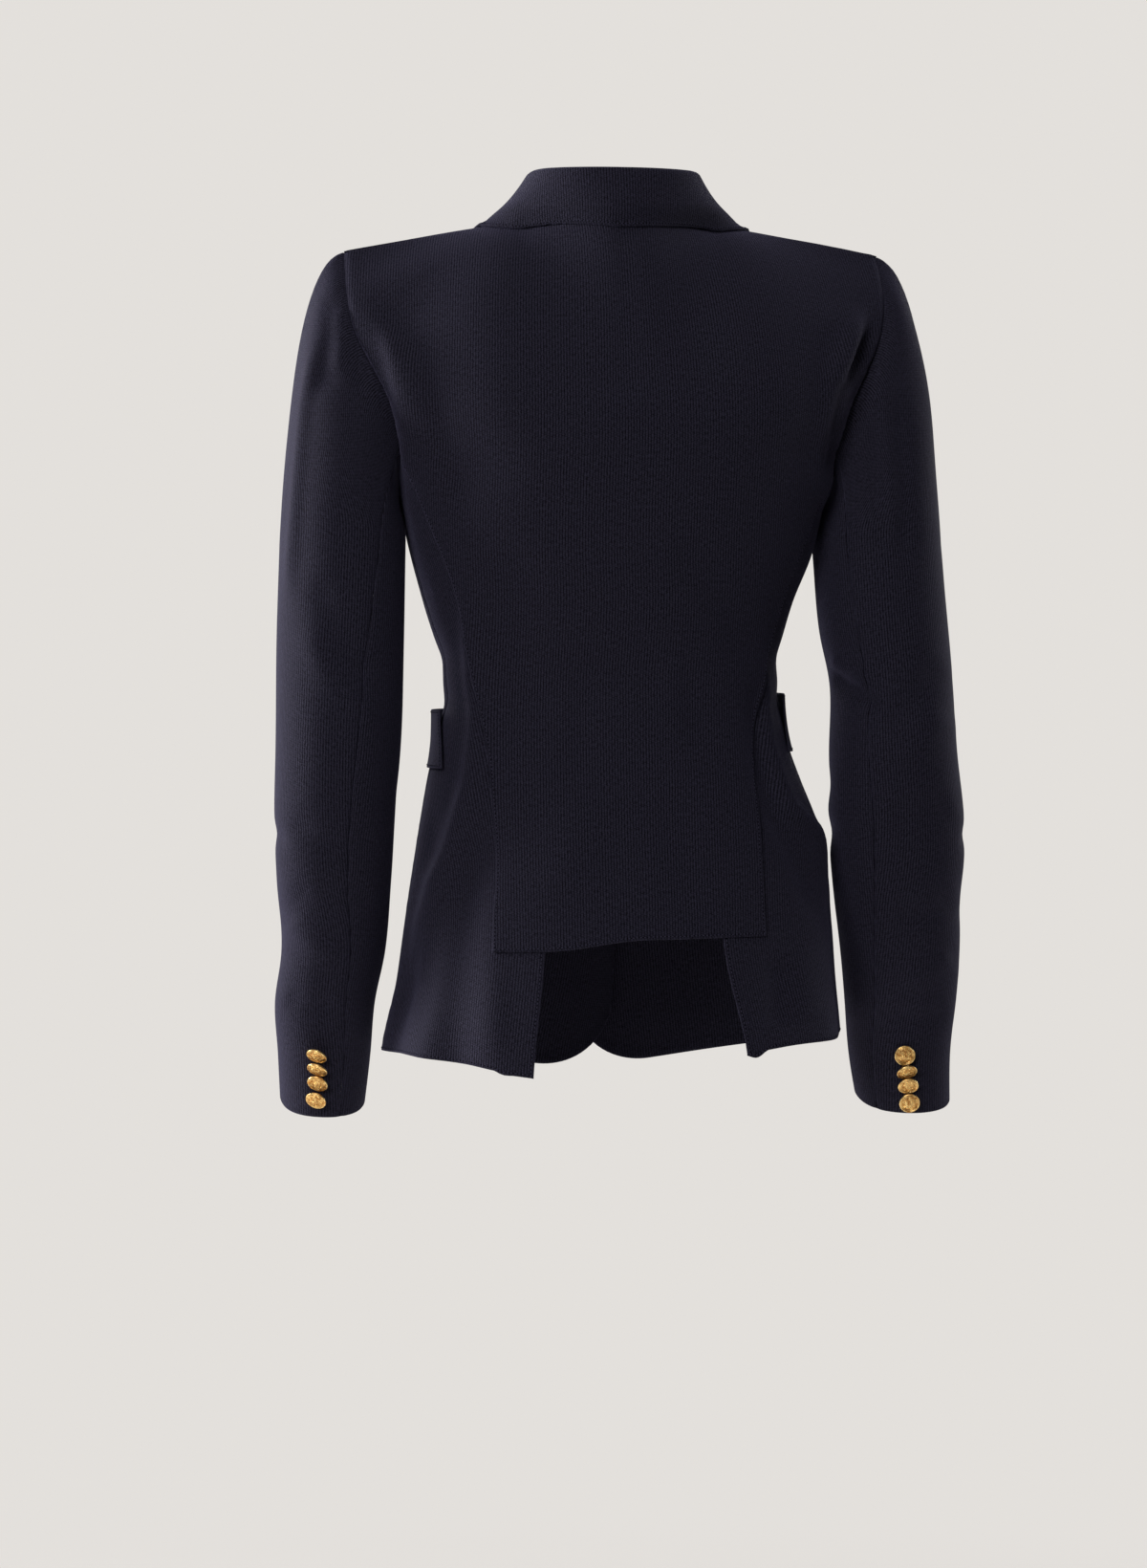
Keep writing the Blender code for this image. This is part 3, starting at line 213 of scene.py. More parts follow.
LAPEL_WIDTH = table(
    "up width",
    (0.700, 0.000), (0.90, 0.030), (1.20, 0.058), (1.50, 0.078), (1.66, 0.086), (1.75, 0.086),
)
LAPEL_START = {"left": 0.930, "right": 0.740}
GORGE = 1.74              # where the lapel meets the collar on the roll line
GORGE_DROP = 0.12         # how far the gorge seam falls towards the notch
ROW_LENGTH = 0.165        # a front's width from the roll line to the armhole
LAPEL_LEAST = 0.006       # width of a lapel's lower end
SHOULDER_ARCH = 0.0008
NECK_SHARE = 0.36         # share of the back's top edge that is its neckline
WELT_TOP = {"left": -0.359, "right": -0.346}
WELT_ANGLES = {"left": (75.0, 84.0, 137.0), "right": (75.0, 85.0, 137.0)}


def smooth(knots, values, at):
    """The smooth curve through (knots, values), read at `at` and level past its ends."""
    order = np.argsort(knots)
    xs = np.asarray(knots, float)[order]
    ys = np.asarray(values, float)[order]
    slopes = np.gradient(ys, xs)
    x = np.clip(at, xs[0], xs[-1])
    i = np.clip(np.searchsorted(xs, x, side="right") - 1, 0, len(xs) - 2)
    step = xs[i + 1] - xs[i]
    t = (x - xs[i]) / step
    return (
        ys[i] * (1 + 2 * t) * (1 - t) ** 2 + ys[i + 1] * t * t * (3 - 2 * t)
        + slopes[i] * step * t * (1 - t) ** 2 - slopes[i + 1] * step * t * t * (1 - t)
    )


def read(tab, name, at, by="height"):
    return smooth(tab[by], tab[name], at)


def ease(x):
    x = np.clip(x, 0.0, 1.0)
    return x * x * (3 - 2 * x)


def mix(a, b, t):
    return a + (b - a) * t


def hermite(start, start_pull, end, end_pull, t):
    t = np.asarray(t)[..., None]
    return (
        start * (1 + 2 * t) * (1 - t) ** 2 + end * t * t * (3 - 2 * t)
        + start_pull * t * (1 - t) ** 2 - end_pull * t * t * (1 - t)
    )


def body_folds(angle, z):
    out = 0.0
    for k in range(len(BODY_FOLDS["angle"])):
        fold = {name: values[k] for name, values in BODY_FOLDS.items()}
        down = (fold["top"] - z) / (fold["top"] - fold["bottom"])
        middle = fold["angle"] + fold["drift"] * np.clip(down, 0, 1)
        window = ease(down * 2.2) * (1 if fold["bottom"] < -0.65 else ease((1 - down) * 2.2))
        out = out + fold["depth"] * window * np.exp(-(((angle - middle) / fold["width"]) ** 2))
    return out


def body_radius(angle, z):
    s, c = np.sin(np.radians(angle)), np.cos(np.radians(angle))
    wide = np.where(s >= 0, read(BODY, "left", z), read(BODY, "right", z))
    deep = np.where(c >= 0, read(BODY, "back", z), read(BODY, "front", z))
    power = read(BODY, "square", z)
    return (np.abs(s / wide) ** power + np.abs(c / deep) ** power) ** (-1 / power)


def body_point(angle, z, out=0.0):
    """The torso's outer cloth at an angle and height, moved outwards by `out`."""
    angle, z, out = np.broadcast_arrays(np.asarray(angle, float), z, out)
    wrapped = (angle + 180.0) % 360.0 - 180.0
    radius = body_radius(angle, z) + body_folds(wrapped, z) + out
    return np.stack([radius * np.sin(np.radians(angle)), radius * np.cos(np.radians(angle)), z], -1)


def angle_at(x, z, front=False):
    """The angle on the body tube that lies x to the left of its middle, behind or in front."""
    x, z = np.broadcast_arrays(np.asarray(x, float), z)
    low, high = np.full(x.shape, -89.0), np.full(x.shape, 89.0)
    for _ in range(30):
        middle = (low + high) / 2
        angle = 180.0 - middle if front else middle
        beyond = body_radius(angle, z) * np.sin(np.radians(middle)) > x
        high = np.where(beyond, middle, high)
        low = np.where(beyond, low, middle)
    return 180.0 - middle if front else middle


def seam_angle(side, z):
    return angle_at(SIDES[side] * read(BACK_SEAM, "out", z), z)


def side_angle(side, z):
    return SIDES[side] * read(SIDE_SEAM, "angle", z)


def armhole_height(side, angle):
    """Height of the armhole's lower part, on the body tube, at an angle from the back's middle."""
    lowest = np.abs(side_angle(side, UNDERARM))
    back = np.abs(seam_angle(side, CHEST))
    reach = np.where(angle < lowest, (lowest - angle) / (lowest - back),
                     (angle - lowest) / (FRONT_ARMHOLE_ANGLE - lowest))
    return UNDERARM + (CHEST - UNDERARM) * np.clip(reach, 0, 1) ** 1.35


def route(tab, side, up):
    """A point of a three-column table's curve, mirrored to its side."""
    points = np.stack([read(tab, name, up, by="up") for name in "xyz"], -1)
    points[..., 0] *= SIDES[side]
    tip = np.array(SHOULDER_TIP[side]) - np.array([SIDES[side] * tab["x"][-1], tab["y"][-1], tab["z"][-1]])
    reach = 0.0 if tab is ROLL_EDGE else ease(np.asarray(up))[..., None]
    return points + tip * reach


def edge_fix(tab, side, up, plain, start):
    """How far an edge's plain curve has to move onto a table's curve, with its start kept."""
    return route(tab, side, up) - plain - (route(tab, side, 0.0 * up) - start) * (1 - up)[..., None]


def upwards(angle, z):
    """Direction of the body tube's cloth, going up, for one metre of height."""
    step = 0.004
    return (body_point(angle, z) - body_point(angle, z - step)) / step


def shoulder_line(side, across):
    """The shoulder seam from the neck point (0) to the tip (1), slightly arched."""
    neck = np.array(NECK_POINT) * (SIDES[side], 1, 1)
    across = np.asarray(across)[..., None]
    line = mix(neck, np.array(SHOULDER_TIP[side]), across)
    return line + np.array([0, 0, SHOULDER_ARCH]) * np.sin(math.pi * across)


def back_low(s, v):
    """The back below the chest line: s from right seam (-1) to left seam (1), v from hem to chest."""
    z = mix(read(BACK_HEM, "height", s, by="across"), CHEST, v)
    angle = mix(seam_angle("right", z), seam_angle("left", z), (s + 1) / 2)
    return body_point(angle, z), angle


def back_point(s, v):
    """The back panel: v runs from the hem (0) by the chest line (1) to the shoulders (2)."""
    s, v = np.broadcast_arrays(np.asarray(s, float), v)
    low, _ = back_low(s, np.clip(v, 0, 1))
    start, angle = back_low(s, np.ones_like(s))
    reach = np.abs(s)
    half = np.clip(reach / NECK_SHARE, 0, 1)
    over = np.clip((reach - NECK_SHARE) / (1 - NECK_SHARE), 0, 1)
    line = np.where((s > 0)[..., None], shoulder_line("left", over), shoulder_line("right", over))
    line[..., 0] = np.where(reach < NECK_SHARE, s * NECK_POINT[0] / NECK_SHARE, line[..., 0])
    hump = np.exp(-((s / 0.21) ** 2))
    end = line + np.stack([0 * s, NAPE[1] * hump, 0.004 * hump], -1)
    rise = 1 - half ** 1.8
    neckline = np.stack([s * NECK_POINT[0] / NECK_SHARE, mix(NECK_POINT[1], NAPE[1], rise),
                         mix(NECK_POINT[2], NAPE[2], rise)], -1)
    trim = np.where((reach < NECK_SHARE)[..., None], neckline, line) - end
    start_pull = upwards(angle, CHEST) * read(BACK_SLOPE, "start", reach, by="across")[..., None]
    arrival = [read(BACK_SLOPE, name, reach, by="across") for name in ("forward", "rise")]
    end_pull = np.stack([0.0 * s, *arrival], -1)
    up = np.clip(v - 1, 0, 1)
    high = hermite(start, start_pull, end, end_pull, up) + trim * up[..., None] ** 4
    for side, sign in SIDES.items():
        start, angle = back_low(np.full_like(s, sign), np.ones_like(s))
        plain = hermite(start, upwards(angle, CHEST) * BACK_SLOPE["start"][-1], np.array(SHOULDER_TIP[side]),
                        np.array([0.0, BACK_SLOPE["forward"][-1], BACK_SLOPE["rise"][-1]]), up)
        near = ease((s * sign - 0.30) / 0.70)
        high = high + edge_fix(BACK_ARMHOLE, side, up, plain, start) * near[..., None]
    return np.where((v <= 1)[..., None], low, high)


def front_low(side, s, v):
    """A front below the chest line: s from side seam (0) to front edge (1), v from hem to chest."""
    sign = SIDES[side]
    round_off = np.clip((s - 1) * FRONT_WIDTH / FRONT_CORNER + 1, 0, 0.985)
    hem_side = read(FRONT_HEM, side, s, by="forward") + FRONT_CORNER * (1 - np.sqrt(1 - round_off ** 2))
    below = np.clip(v / FRONT_TURN, 0, 1)
    beside = np.clip((v - FRONT_TURN) / (1 - FRONT_TURN), 0, 1)
    z_side = mix(hem_side, UNDERARM, below)
    angle_side = np.abs(side_angle(side, z_side))
    angle_arm = mix(np.abs(side_angle(side, UNDERARM)), FRONT_ARMHOLE_ANGLE, beside)
    z_arm = armhole_height(side, angle_arm)
    upper = v > FRONT_TURN
    edge_angle = np.where(upper, angle_arm, angle_side)
    edge_z = np.where(upper, z_arm, z_side)
    front_z = mix(hem_side, CHEST, v)
    z = mix(edge_z, front_z, s)
    past = -sign * read(FRONT_EDGE, "past_middle", z)
    front_angle = angle_at(past, z, front=True)
    front_angle = np.where(sign > 0, front_angle, 360.0 - front_angle)
    angle = mix(edge_angle, front_angle, s)
    lap = 0.0
    if side == "right":
        x = body_radius(angle, z) * np.sin(np.radians(angle))
        lap = (CLOTH + LAYER_GAP + 0.0004) * ease((0.055 - x) / 0.030) * ease((-0.205 - z) / 0.02)
    return body_point(sign * angle, z, lap), sign * angle


def front_point(side, s, v):
    """A front: s from side seam and armhole (0) to front edge and roll line (1), v 0, 1, 2."""
    s, v = np.broadcast_arrays(np.asarray(s, float), v)
    ones = np.ones_like(s)
    low, _ = front_low(side, s, np.clip(v, 0, 1))
    start, angle = front_low(side, s, ones)
    up = np.clip(v - 1, 0, 1)
    end = shoulder_line(side, 1 - s)
    high = hermite(start, front_rise(start, angle, s), end, front_arrival(s), up)
    for edge, tab in ((0.0, FRONT_ARMHOLE), (1.0, ROLL_EDGE)):
        at = edge * ones
        start, angle = front_low(side, at, ones)
        rise, arrival = front_rise(start, angle, at), front_arrival(at)
        plain = hermite(start, rise, shoulder_line(side, 1 - at), arrival, up)
        near = ease(1 - s / 0.75) if edge == 0 else ease((s - 0.25) / 0.75)
        high = high + edge_fix(tab, side, up, plain, start) * near[..., None]
    return np.where((v <= 1)[..., None], low, high)


def front_rise(start, angle, s):
    return upwards(angle, CHEST) * 0.165 + np.stack([0.02 * s * np.sign(start[..., 0]), 0 * s, 0 * s], -1)


def front_arrival(s):
    return np.stack([0.0 * s, mix(0.110, 0.130, s), mix(0.030, 0.060, s)], -1)


def side_back_point(side, s, v):
    """A side panel: s from the underlap's edge (-1) by the back seam (0) to the side seam (1)."""
    sign = SIDES[side]
    s, v = np.broadcast_arrays(np.asarray(s, float), v)
    hem = read(SIDE_HEM, side, (s + 1) / 2, by="forward")
    at_seam = np.abs(seam_angle(side, CHEST))
    at_side = np.abs(side_angle(side, UNDERARM))
    top = armhole_height(side, mix(at_seam, at_side, np.clip(s, 0, 1))) - np.where(s < 0, 0.004 * -s, 0)
    z = mix(hem, top, v)
    seam = np.abs(seam_angle(side, z))
    under = np.abs(angle_at(sign * read(UNDERLAP, side, z), z))
    angle = np.where(s < 0, mix(seam, under, -s), mix(seam, np.abs(side_angle(side, z)), s))
    sink = (CLOTH + UNDERLAP_GAP) * (1 - ease(s / 0.55))
    return body_point(sign * angle, z, -sink)


def sleeve_ring(side, angle, z):
    """The sleeve below the bicep line. Angles: 0 is the back, 90 the outside, 180 the front."""
    sign, tab = SIDES[side], SLEEVE[side]
    angle = np.asarray(angle, float)
    s, c = np.sin(np.radians(angle)), np.cos(np.radians(angle))
    wide, deep = np.abs(s / read(tab, "half", z)), np.abs(c / read(tab, "deep", z))
    radius = (wide ** SLEEVE_SQUARE + deep ** SLEEVE_SQUARE) ** (-1 / SLEEVE_SQUARE)
    for k in range(len(SLEEVE_FOLDS["side"])):
        fold = {name: values[k] for name, values in SLEEVE_FOLDS.items()}
        if fold["side"] != sign:
            continue
        turn = (angle - fold["angle"] + 180.0) % 360.0 - 180.0
        away = (turn / fold["across"]) ** 2 + ((z - fold["height"]) / fold["along"]) ** 2
        radius = radius + fold["depth"] * np.exp(-away)
    x = read(tab, "x", z) + radius * s
    return np.stack([sign * x, read(tab, "y", z) + radius * c, z + 0 * x], -1)


def sleeve_panel(side, points, angles, rows):
    """Rows (0 to 1 to 2) from the armhole's points to the bicep line and on to the cuff."""
    sign = SIDES[side]
    outwards = np.array(SLEEVE_AXIS) * (sign, 1, 1)
    start = points + outwards * ARMHOLE_GAP
    low = np.clip((SHOULDER_TIP[side][2] - points[:, 2]) / (SHOULDER_TIP[side][2] - UNDERARM), 0, 1)[:, None]
    end = sleeve_ring(side, angles(BICEP), BICEP)
    apart = np.linalg.norm(end - start, axis=1)[:, None]
    start_pull = outwards * (1 - 0.86 * low ** 1.5) + np.array([0, 0, -1.0]) * low ** 1.5 * 1.1
    start_pull[:, 1:2] += np.sign(points[:, 1:2]) * 0.35 * np.sin(math.pi * low)
    start_pull = start_pull / np.linalg.norm(start_pull, axis=1)[:, None] * apart * mix(0.50, 0.9, low)
    end_pull = (np.array([sign * 0.05, 0, -1.0]) * apart) * mix(0.75, 1.0, low)
    made = [hermite(start, start_pull, end, end_pull, np.full(len(points), t)) for t in rows[rows <= 1]]
    for t in rows[rows > 1] - 1:
        z = mix(BICEP, CUFF[side], t)
        ring = angles(z)
        lift = CUFF_RISE * t ** 4 * (1 - np.cos(np.radians(ring))) / 2
        made.append(sleeve_ring(side, ring, z + lift))
    return np.array(made)


def grid_faces(rows, columns):
    """Four corners of each cell of a grid whose points are numbered row by row."""
    first = (np.arange(rows - 1)[:, None] * columns + np.arange(columns - 1)[None, :]).reshape(-1)
    return np.stack([first, first + 1, first + columns + 1, first + columns], -1)


def unit(vectors):
    length = np.linalg.norm(vectors, axis=-1, keepdims=True)
    return vectors / np.maximum(length, 1e-12)


def grid_normals(points):
    """Normals of a grid's points, along (down the columns) x (along the rows)."""
    return unit(np.cross(np.gradient(points, axis=0), np.gradient(points, axis=1)))


def lapel_point(side, u, v):
    """A point of a front, u of the lapel's width away from the roll line."""
    width = np.maximum(LAPEL_LEAST, read(LAPEL_WIDTH, "width", v, by="up"))
    return front_point(side, 1 - width * u / ROW_LENGTH, v)


def neck_seam(along):
    """The body's neck edge from the right gorge (-1) by the nape (0) to the left gorge (1)."""
    reach = np.abs(along)
    behind = back_point(NECK_SHARE * np.clip(along / COLLAR_SHOULDER, -1, 1), 2.0)
    down = mix(2.0, GORGE, np.clip((reach - COLLAR_SHOULDER) / (1 - COLLAR_SHOULDER), 0, 1))
    is_left, is_behind = (along >= 0)[:, None], (reach <= COLLAR_SHOULDER)[:, None]
    ahead, beside = (np.where(is_left, front_point("left", s, down), front_point("right", s, down))
                     for s in (1.0, 0.93))
    point = np.where(is_behind, behind, ahead)
    before = np.where(is_behind, behind * (1.1, 1.1, 1), beside)
    return point + unit(point - before) * (COLLAR_CLOTH + LAYER_GAP) + np.array([0, 0, 0.0011])


def collar_curve(t, mark):
    """A point of the collar's roll line ("k") or of its outer edge ("f")."""
    x, y, z = (read(COLLAR, mark + axis, abs(t), by="along") for axis in "xyz")
    return np.array([x if t >= 0 else -x, y, z])


def square_to(vector, *others):
    """The vector's part at right angles to some unit vectors, made one long."""
    for other in others:
        vector = vector - other * (vector @ other)
    return unit(vector)


def collar_section(t, neck, gorge):
    """A section of the collar: up the stand, round the roll line and down the fall."""
    side = "left" if t >= 0 else "right"
    near_end = float(ease((abs(t) - 0.86) / 0.14))
    edge = mix(collar_curve(t, "f"), gorge + np.array([0, 0, 0.0022]), near_end)
    off_panel = unit(np.array([SIDES[side] * 0.25, -0.80, 0.50]))
    roll = mix(collar_curve(t, "k"), neck + off_panel * (ROLL_RADIUS + 0.0015), near_end)
    neck = neck - off_panel * 0.0020 * near_end
    run = unit(collar_curve(min(t + 0.02, 1.0), "k") - collar_curve(max(t - 0.02, -1.0), "k"))
    rise = square_to(roll - neck, run)
    away = square_to(edge - roll, run, rise)
    center = roll + (away - rise) * ROLL_RADIUS
    foot = roll - rise * ROLL_RADIUS
    to_edge = np.array([(edge - center) @ away, (edge - center) @ rise])
    touch = math.atan2(to_edge[1], to_edge[0]) + math.acos(min(1.0, ROLL_RADIUS / np.linalg.norm(to_edge)))
    points = [mix(neck, foot, u) for u in STAND_SHARES]
    for u in ROLL_SHARES:
        turn = mix(math.pi, touch, u)
        points.append(center + (away * math.cos(turn) + rise * math.sin(turn)) * ROLL_RADIUS)
    last = points[-1]
    out = away * math.cos(touch) + rise * math.sin(touch)
    bulge = read(COLLAR_HOLLOW, "bulge", abs(t), by="along")
    down = np.linspace(0, 1, FALL_POINTS + 1)[1:]
    points += [mix(last, edge, u) + out * bulge * math.sin(math.pi * u) for u in down]
    return np.array(points)


# The direction that the strokes on the back are drawn in, and the camera's place
VIEW_TURN = math.radians(7.5)
VIEW_DISTANCE = 3.10
VIEW_HEIGHT = -0.414
CAMERA_X, CAMERA_Y = 0.4337, 3.0697
# Soft ridges and troughs in millimetres: the side they show on, half width (or the half widths to the
# left and right of the line), height, and the line's points, across and up in turn
BODY_STROKES = (
    ("back", 28, -5, (-4, 29, -5, -14, -7, -64, -9, -136)),
    ("back", 5, 9, 3.2, (174, -68, 168, -87, 163, -107, 159, -127, 156, -146, 153, -171, 149, -200)),
    ("back", 11.5, 34, -6.6, (178, -40, 171, -54, 162, -67, 151, -80, 142, -93, 136, -114, 131, -136,
     125, -163, 116, -189, 106, -218)),
    ("back", 11, 4.8, 7.4, (-188, -51, -184, -69, -176, -99, -170, -133, -162, -170, -154, -214)),
    ("back", 4.4, -7.2, (-199, -56, -194, -73, -189, -84, -179, -103, -172, -118, -166, -143, -161, -170,
     -155, -196)),
    ("back", 13, -2.5, (-171, -61, -161, -89, -154, -121, -146, -157, -141, -193)),
    ("back", 7, 15, 6.2, (111, -250, 105, -321, 101, -371, 105, -411, 114, -439, 125, -463, 136, -486,
     144, -515, 149, -543, 155, -579)),
    ("back", 33, 20, -11, (101, -429, 108, -475, 116, -507, 122, -543, 125, -586, 124, -625, 121, -671)),
    ("back", 14, 7, -3, (116, -371, 125, -425, 139, -454, 152, -486, 159, -515, 165, -550)),
    ("back", 11, 2, (89, -457, 91, -500, 93, -543, 92, -586, 90, -627)),
    ("back", 4.5, 4.6, (-115, -321, -116, -364, -118, -383, -124, -406, -133, -429, -142, -439, -152, -448,
     -158, -459, -164, -482, -169, -521)),
    ("back", 9.5, -6, (-105, -329, -110, -371, -114, -409, -122, -436, -135, -460, -146, -486, -154, -529)),
    ("back", 8, -3, (-122, -543, -125, -571, -124, -600)),
    ("back", 10, 2.2, (-139, -529, -144, -564, -149, -596)),
    ("back", 18, -2, (58, -329, 29, -337, -6, -333, -49, -337)),
    ("back", 16, 1.6, (58, -357, 15, -363, -35, -359, -71, -364)),
    ("back", 16, -2.4, (-42, -229, -71, -257, -92, -293, -104, -329)),
    ("back", 16, -2, (86, -229, 72, -271, 66, -321, 58, -371)),
    ("back", 22, 2, (29, -414, 32, -457, 36, -500)),
    ("back", 20, -1.8, (-42, -414, -54, -471, -58, -514)),
    ("left", 12, -2.2, (-60, -330, 0, -318, 50, -326)),
    ("left", 10, -1.6, (-40, -360, 10, -352, 60, -358)),
    ("right", 12, -2.2, (-60, -330, 0, -318, 50, -326)),
    ("right", 10, -1.6, (-40, -362, 10, -352, 60, -356)),
    ("front", 11, -3, (100, -300, 50, -325, 10, -334)),
    ("front", 12, -2.8, (-100, -296, -50, -322, -10, -334)),
    ("front", 10, -2, (90, -372, 45, -350, 10, -338)),
    ("front", 10, -2, (-90, -376, -45, -352, -10, -338)),
    ("front", 11, 1.6, (95, -335, 60, -336, 30, -337)),
    ("front", 11, 1.6, (-95, -333, -60, -335, -30, -337)),
    ("front", 11, -3.4, (152, -110, 142, -150, 128, -195)),
    ("front", 11, -3.4, (-152, -110, -142, -150, -127, -195)),
    ("front", 12, 1.6, (134, -120, 122, -160, 108, -200)),
    ("front", 12, 1.6, (-134, -120, -123, -160, -107, -200)),
    ("front", 12, -2.2, (104, -450, 112, -520, 110, -600)),
    ("front", 12, -2, (-100, -440, -110, -510, -112, -590)),
)
SLEEVE_STROKES = {
    "left": (
        ("back", 4.5, 2.8, (219, -75, 224, -104, 229, -136, 233, -179, 237, -229, 241, -286)),
        ("back", 5, 13, -3, (211, -43, 211, -61, 212, -79, 215, -100, 218, -129)),
        ("back", 6, 2, (203, -57, 201, -79, 206, -111)),
        ("back", 6, -2.4, (196, -75, 191, -99, 184, -125)),
        ("back", 11, -2.4, (222, -257, 208, -293, 192, -321, 172, -336)),
        ("back", 10, 2, (232, -293, 215, -329, 192, -357, 169, -366)),
        ("back", 11, -2, (241, -436, 222, -457, 199, -464, 172, -451)),
        ("back", 11, -2.2, (244, -493, 222, -504, 195, -500, 175, -493)),
        ("back", 9, 2, (242, -514, 222, -532, 201, -543)),
        ("back", 8, -2, (244, -571, 225, -579, 204, -576)),
        ("front", 7.5, -3.4, (178, -402, 205, -425, 237, -420)),
        ("front", 7, 1.8, (178, -428, 204, -441, 234, -432)),
        ("front", 7, -2.6, (174, -450, 200, -457, 230, -440)),
        ("front", 7, -2, (180, -490, 205, -486, 235, -470)),
        ("left", 8, -1.8, (-30, -430, 0, -450, 40, -455)),
        ("front", 9, -2, (172, -210, 182, -260, 186, -320)),
    ),
    "right": (
        ("back", 6, 8, -7.4, (-199, -56, -194, -73, -189, -84, -179, -103, -172, -118, -166, -143,
         -161, -170, -155, -196)),
        ("back", 5.5, -5, (-159, -331, -171, -337, -185, -347, -203, -359)),
        ("back", 7.5, 3.2, (-159, -321, -180, -326, -198, -334)),
        ("back", 9, -3.2, (-211, -114, -216, -157, -219, -207, -221, -257)),
        ("back", 8, -2.8, (-189, -114, -196, -150, -199, -200, -204, -250)),
        ("back", 8, 2.8, (-199, -93, -206, -136, -209, -186, -212, -229)),
        ("back", 11, -2.4, (-249, -321, -228, -350, -203, -371)),
        ("back", 11, 2, (-254, -357, -231, -386, -206, -400)),
        ("back", 12, -2.2, (-259, -429, -235, -440, -206, -436)),
        ("back", 11, -2.4, (-262, -500, -239, -514, -210, -511)),
        ("back", 9, 2, (-259, -543, -235, -557, -214, -560)),
        ("back", 8, -2, (-256, -586, -235, -594, -206, -590)),
        ("front", 7.5, -3.4, (-182, -400, -207, -422, -238, -424)),
        ("front", 7, 1.8, (-180, -426, -206, -438, -236, -436)),
        ("front", 7, -2.8, (-178, -448, -204, -456, -234, -446)),
        ("front", 7, -1.8, (-186, -495, -210, -490, -240, -476)),
        ("right", 8, -1.8, (-30, -428, 0, -448, 40, -456)),
        ("front", 9, -2, (-172, -205, -183, -258, -187, -315)),
    ),
}
BACK_SEAM_END = 0.62      # share of the back's rows along which its lapped seams are stitched
UNDERLAP_END = 0.33       # the same for the underlaps' edges
FRONT_EDGE_END = 0.62     # and for the fronts' edges
LAPEL_TURNS = (20.0, 50.0, 80.0, 110.0, 140.0, 168.0)    # degrees round a lapel's roll
LAPEL_STITCHED = 0.3      # where the stitches of a lapel's upper edge start
BUTTON_TURN = 37.0        # degrees from one button's rosette to the next
DOME_RADIUS = 0.80        # of a button's dome, as a share of the button's
DOME_SINK = 0.26          # how deep the dome's middle lies, as a share of its height
FLOOR_WHOLE = 0.35        # share of its radius where the floor starts to fade
LAMP_TARGET = (0, 0, -0.33)
LAMP_COLOR = (1.0, 0.985, 0.97)
# Points of a section of the collar: on the stand, round the roll line and down the fall
STAND_SHARES = (0.0, 0.35, 0.7)
ROLL_SHARES = tuple(np.linspace(0, 1, 9))
FALL_POINTS = 15
ARMHOLE_DIP = 4.4         # the back sinks this many times more into the armholes' seams than elsewhere
HEM_FOLD = 0.0085         # width of the thicker edge of a turned hem
# Seam allowance of the sleeves: how far each row lies in, and how far under the body's cloth
ALLOWANCE = ((0.0050, 0.0026), (0.0024, 0.0016), (0.0008, 0.0004))
SLEEVE_AXIS = (0.966, 0.0, -0.26)    # the way a sleeve leaves its armhole
SLEEVE_SQUARE = 2.15      # 2 would make the sleeves' rings ellipses
COLLAR_SMOOTHING = 40     # passes that even the collar out along its length
# How much the collar's edge is raised, across the garment
COLLAR_LIFT = table(
    "across lift",
    (-0.125, 0.0), (-0.100, 0.0045), (-0.075, 0.0068), (-0.035, 0.0024), (0.0, 0.0030),
    (0.030, 0.0036), (0.078, 0.0062), (0.100, 0.0045), (0.125, 0.0),
)


# Mesh rows
FINE = (0.0, 0.0018, 0.0034, 0.0054)    # rows of the mesh near an edge, from the edge


def shares(length, cell):
    """Shares from 0 to 1 along a length: close together near both ends and even between."""
    ends = np.array(FINE) / length
    count = max(2, int(round((1 - 2 * ends[-1]) * length / cell)) + 1)
    middle = np.linspace(ends[-1], 1 - ends[-1], count)
    return np.concatenate([ends[:-1], middle, (1 - ends[:-1])[::-1]])


def run_length(points, axis):
    """Distance along each row (axis 1) or column (axis 0) of a grid."""
    steps = np.linalg.norm(np.diff(points, axis=axis), axis=-1)
    zero = np.zeros_like(steps[:, :1]) if axis else np.zeros_like(steps[:1])
    return np.concatenate([zero, np.cumsum(steps, axis)], axis)


def grain(points, row, column):
    """The cloth's own coordinates: metres across the grain and along it, from one row and column."""
    across, along = run_length(points, 1), run_length(points, 0)
    return np.stack([across - across[:, column:column + 1], along - along[row:row + 1]], -1)


def border_distance(points):
    """Distance of each grid point to the first row, last row, first column and last column."""
    across, along = run_length(points, 1), run_length(points, 0)
    return {"top": along, "bottom": along[-1:] - along, "left": across, "right": across[:, -1:] - across}


def unevenness(uv, seed, size=0.060):
    """A slow, irregular rise and fall of the cloth, from -1 to 1."""
    dice = np.random.default_rng(seed)
    total = 0.0
    for _ in range(9):
        turn = dice.uniform(0, math.pi)
        wave = 2 * math.pi / (size * dice.uniform(0.7, 2.2))
        flat = uv[..., 0] * math.cos(turn) + uv[..., 1] * math.sin(turn) * 0.6
        total = total + np.sin(flat * wave + dice.uniform(0, 6.28))
    return total / 4.5


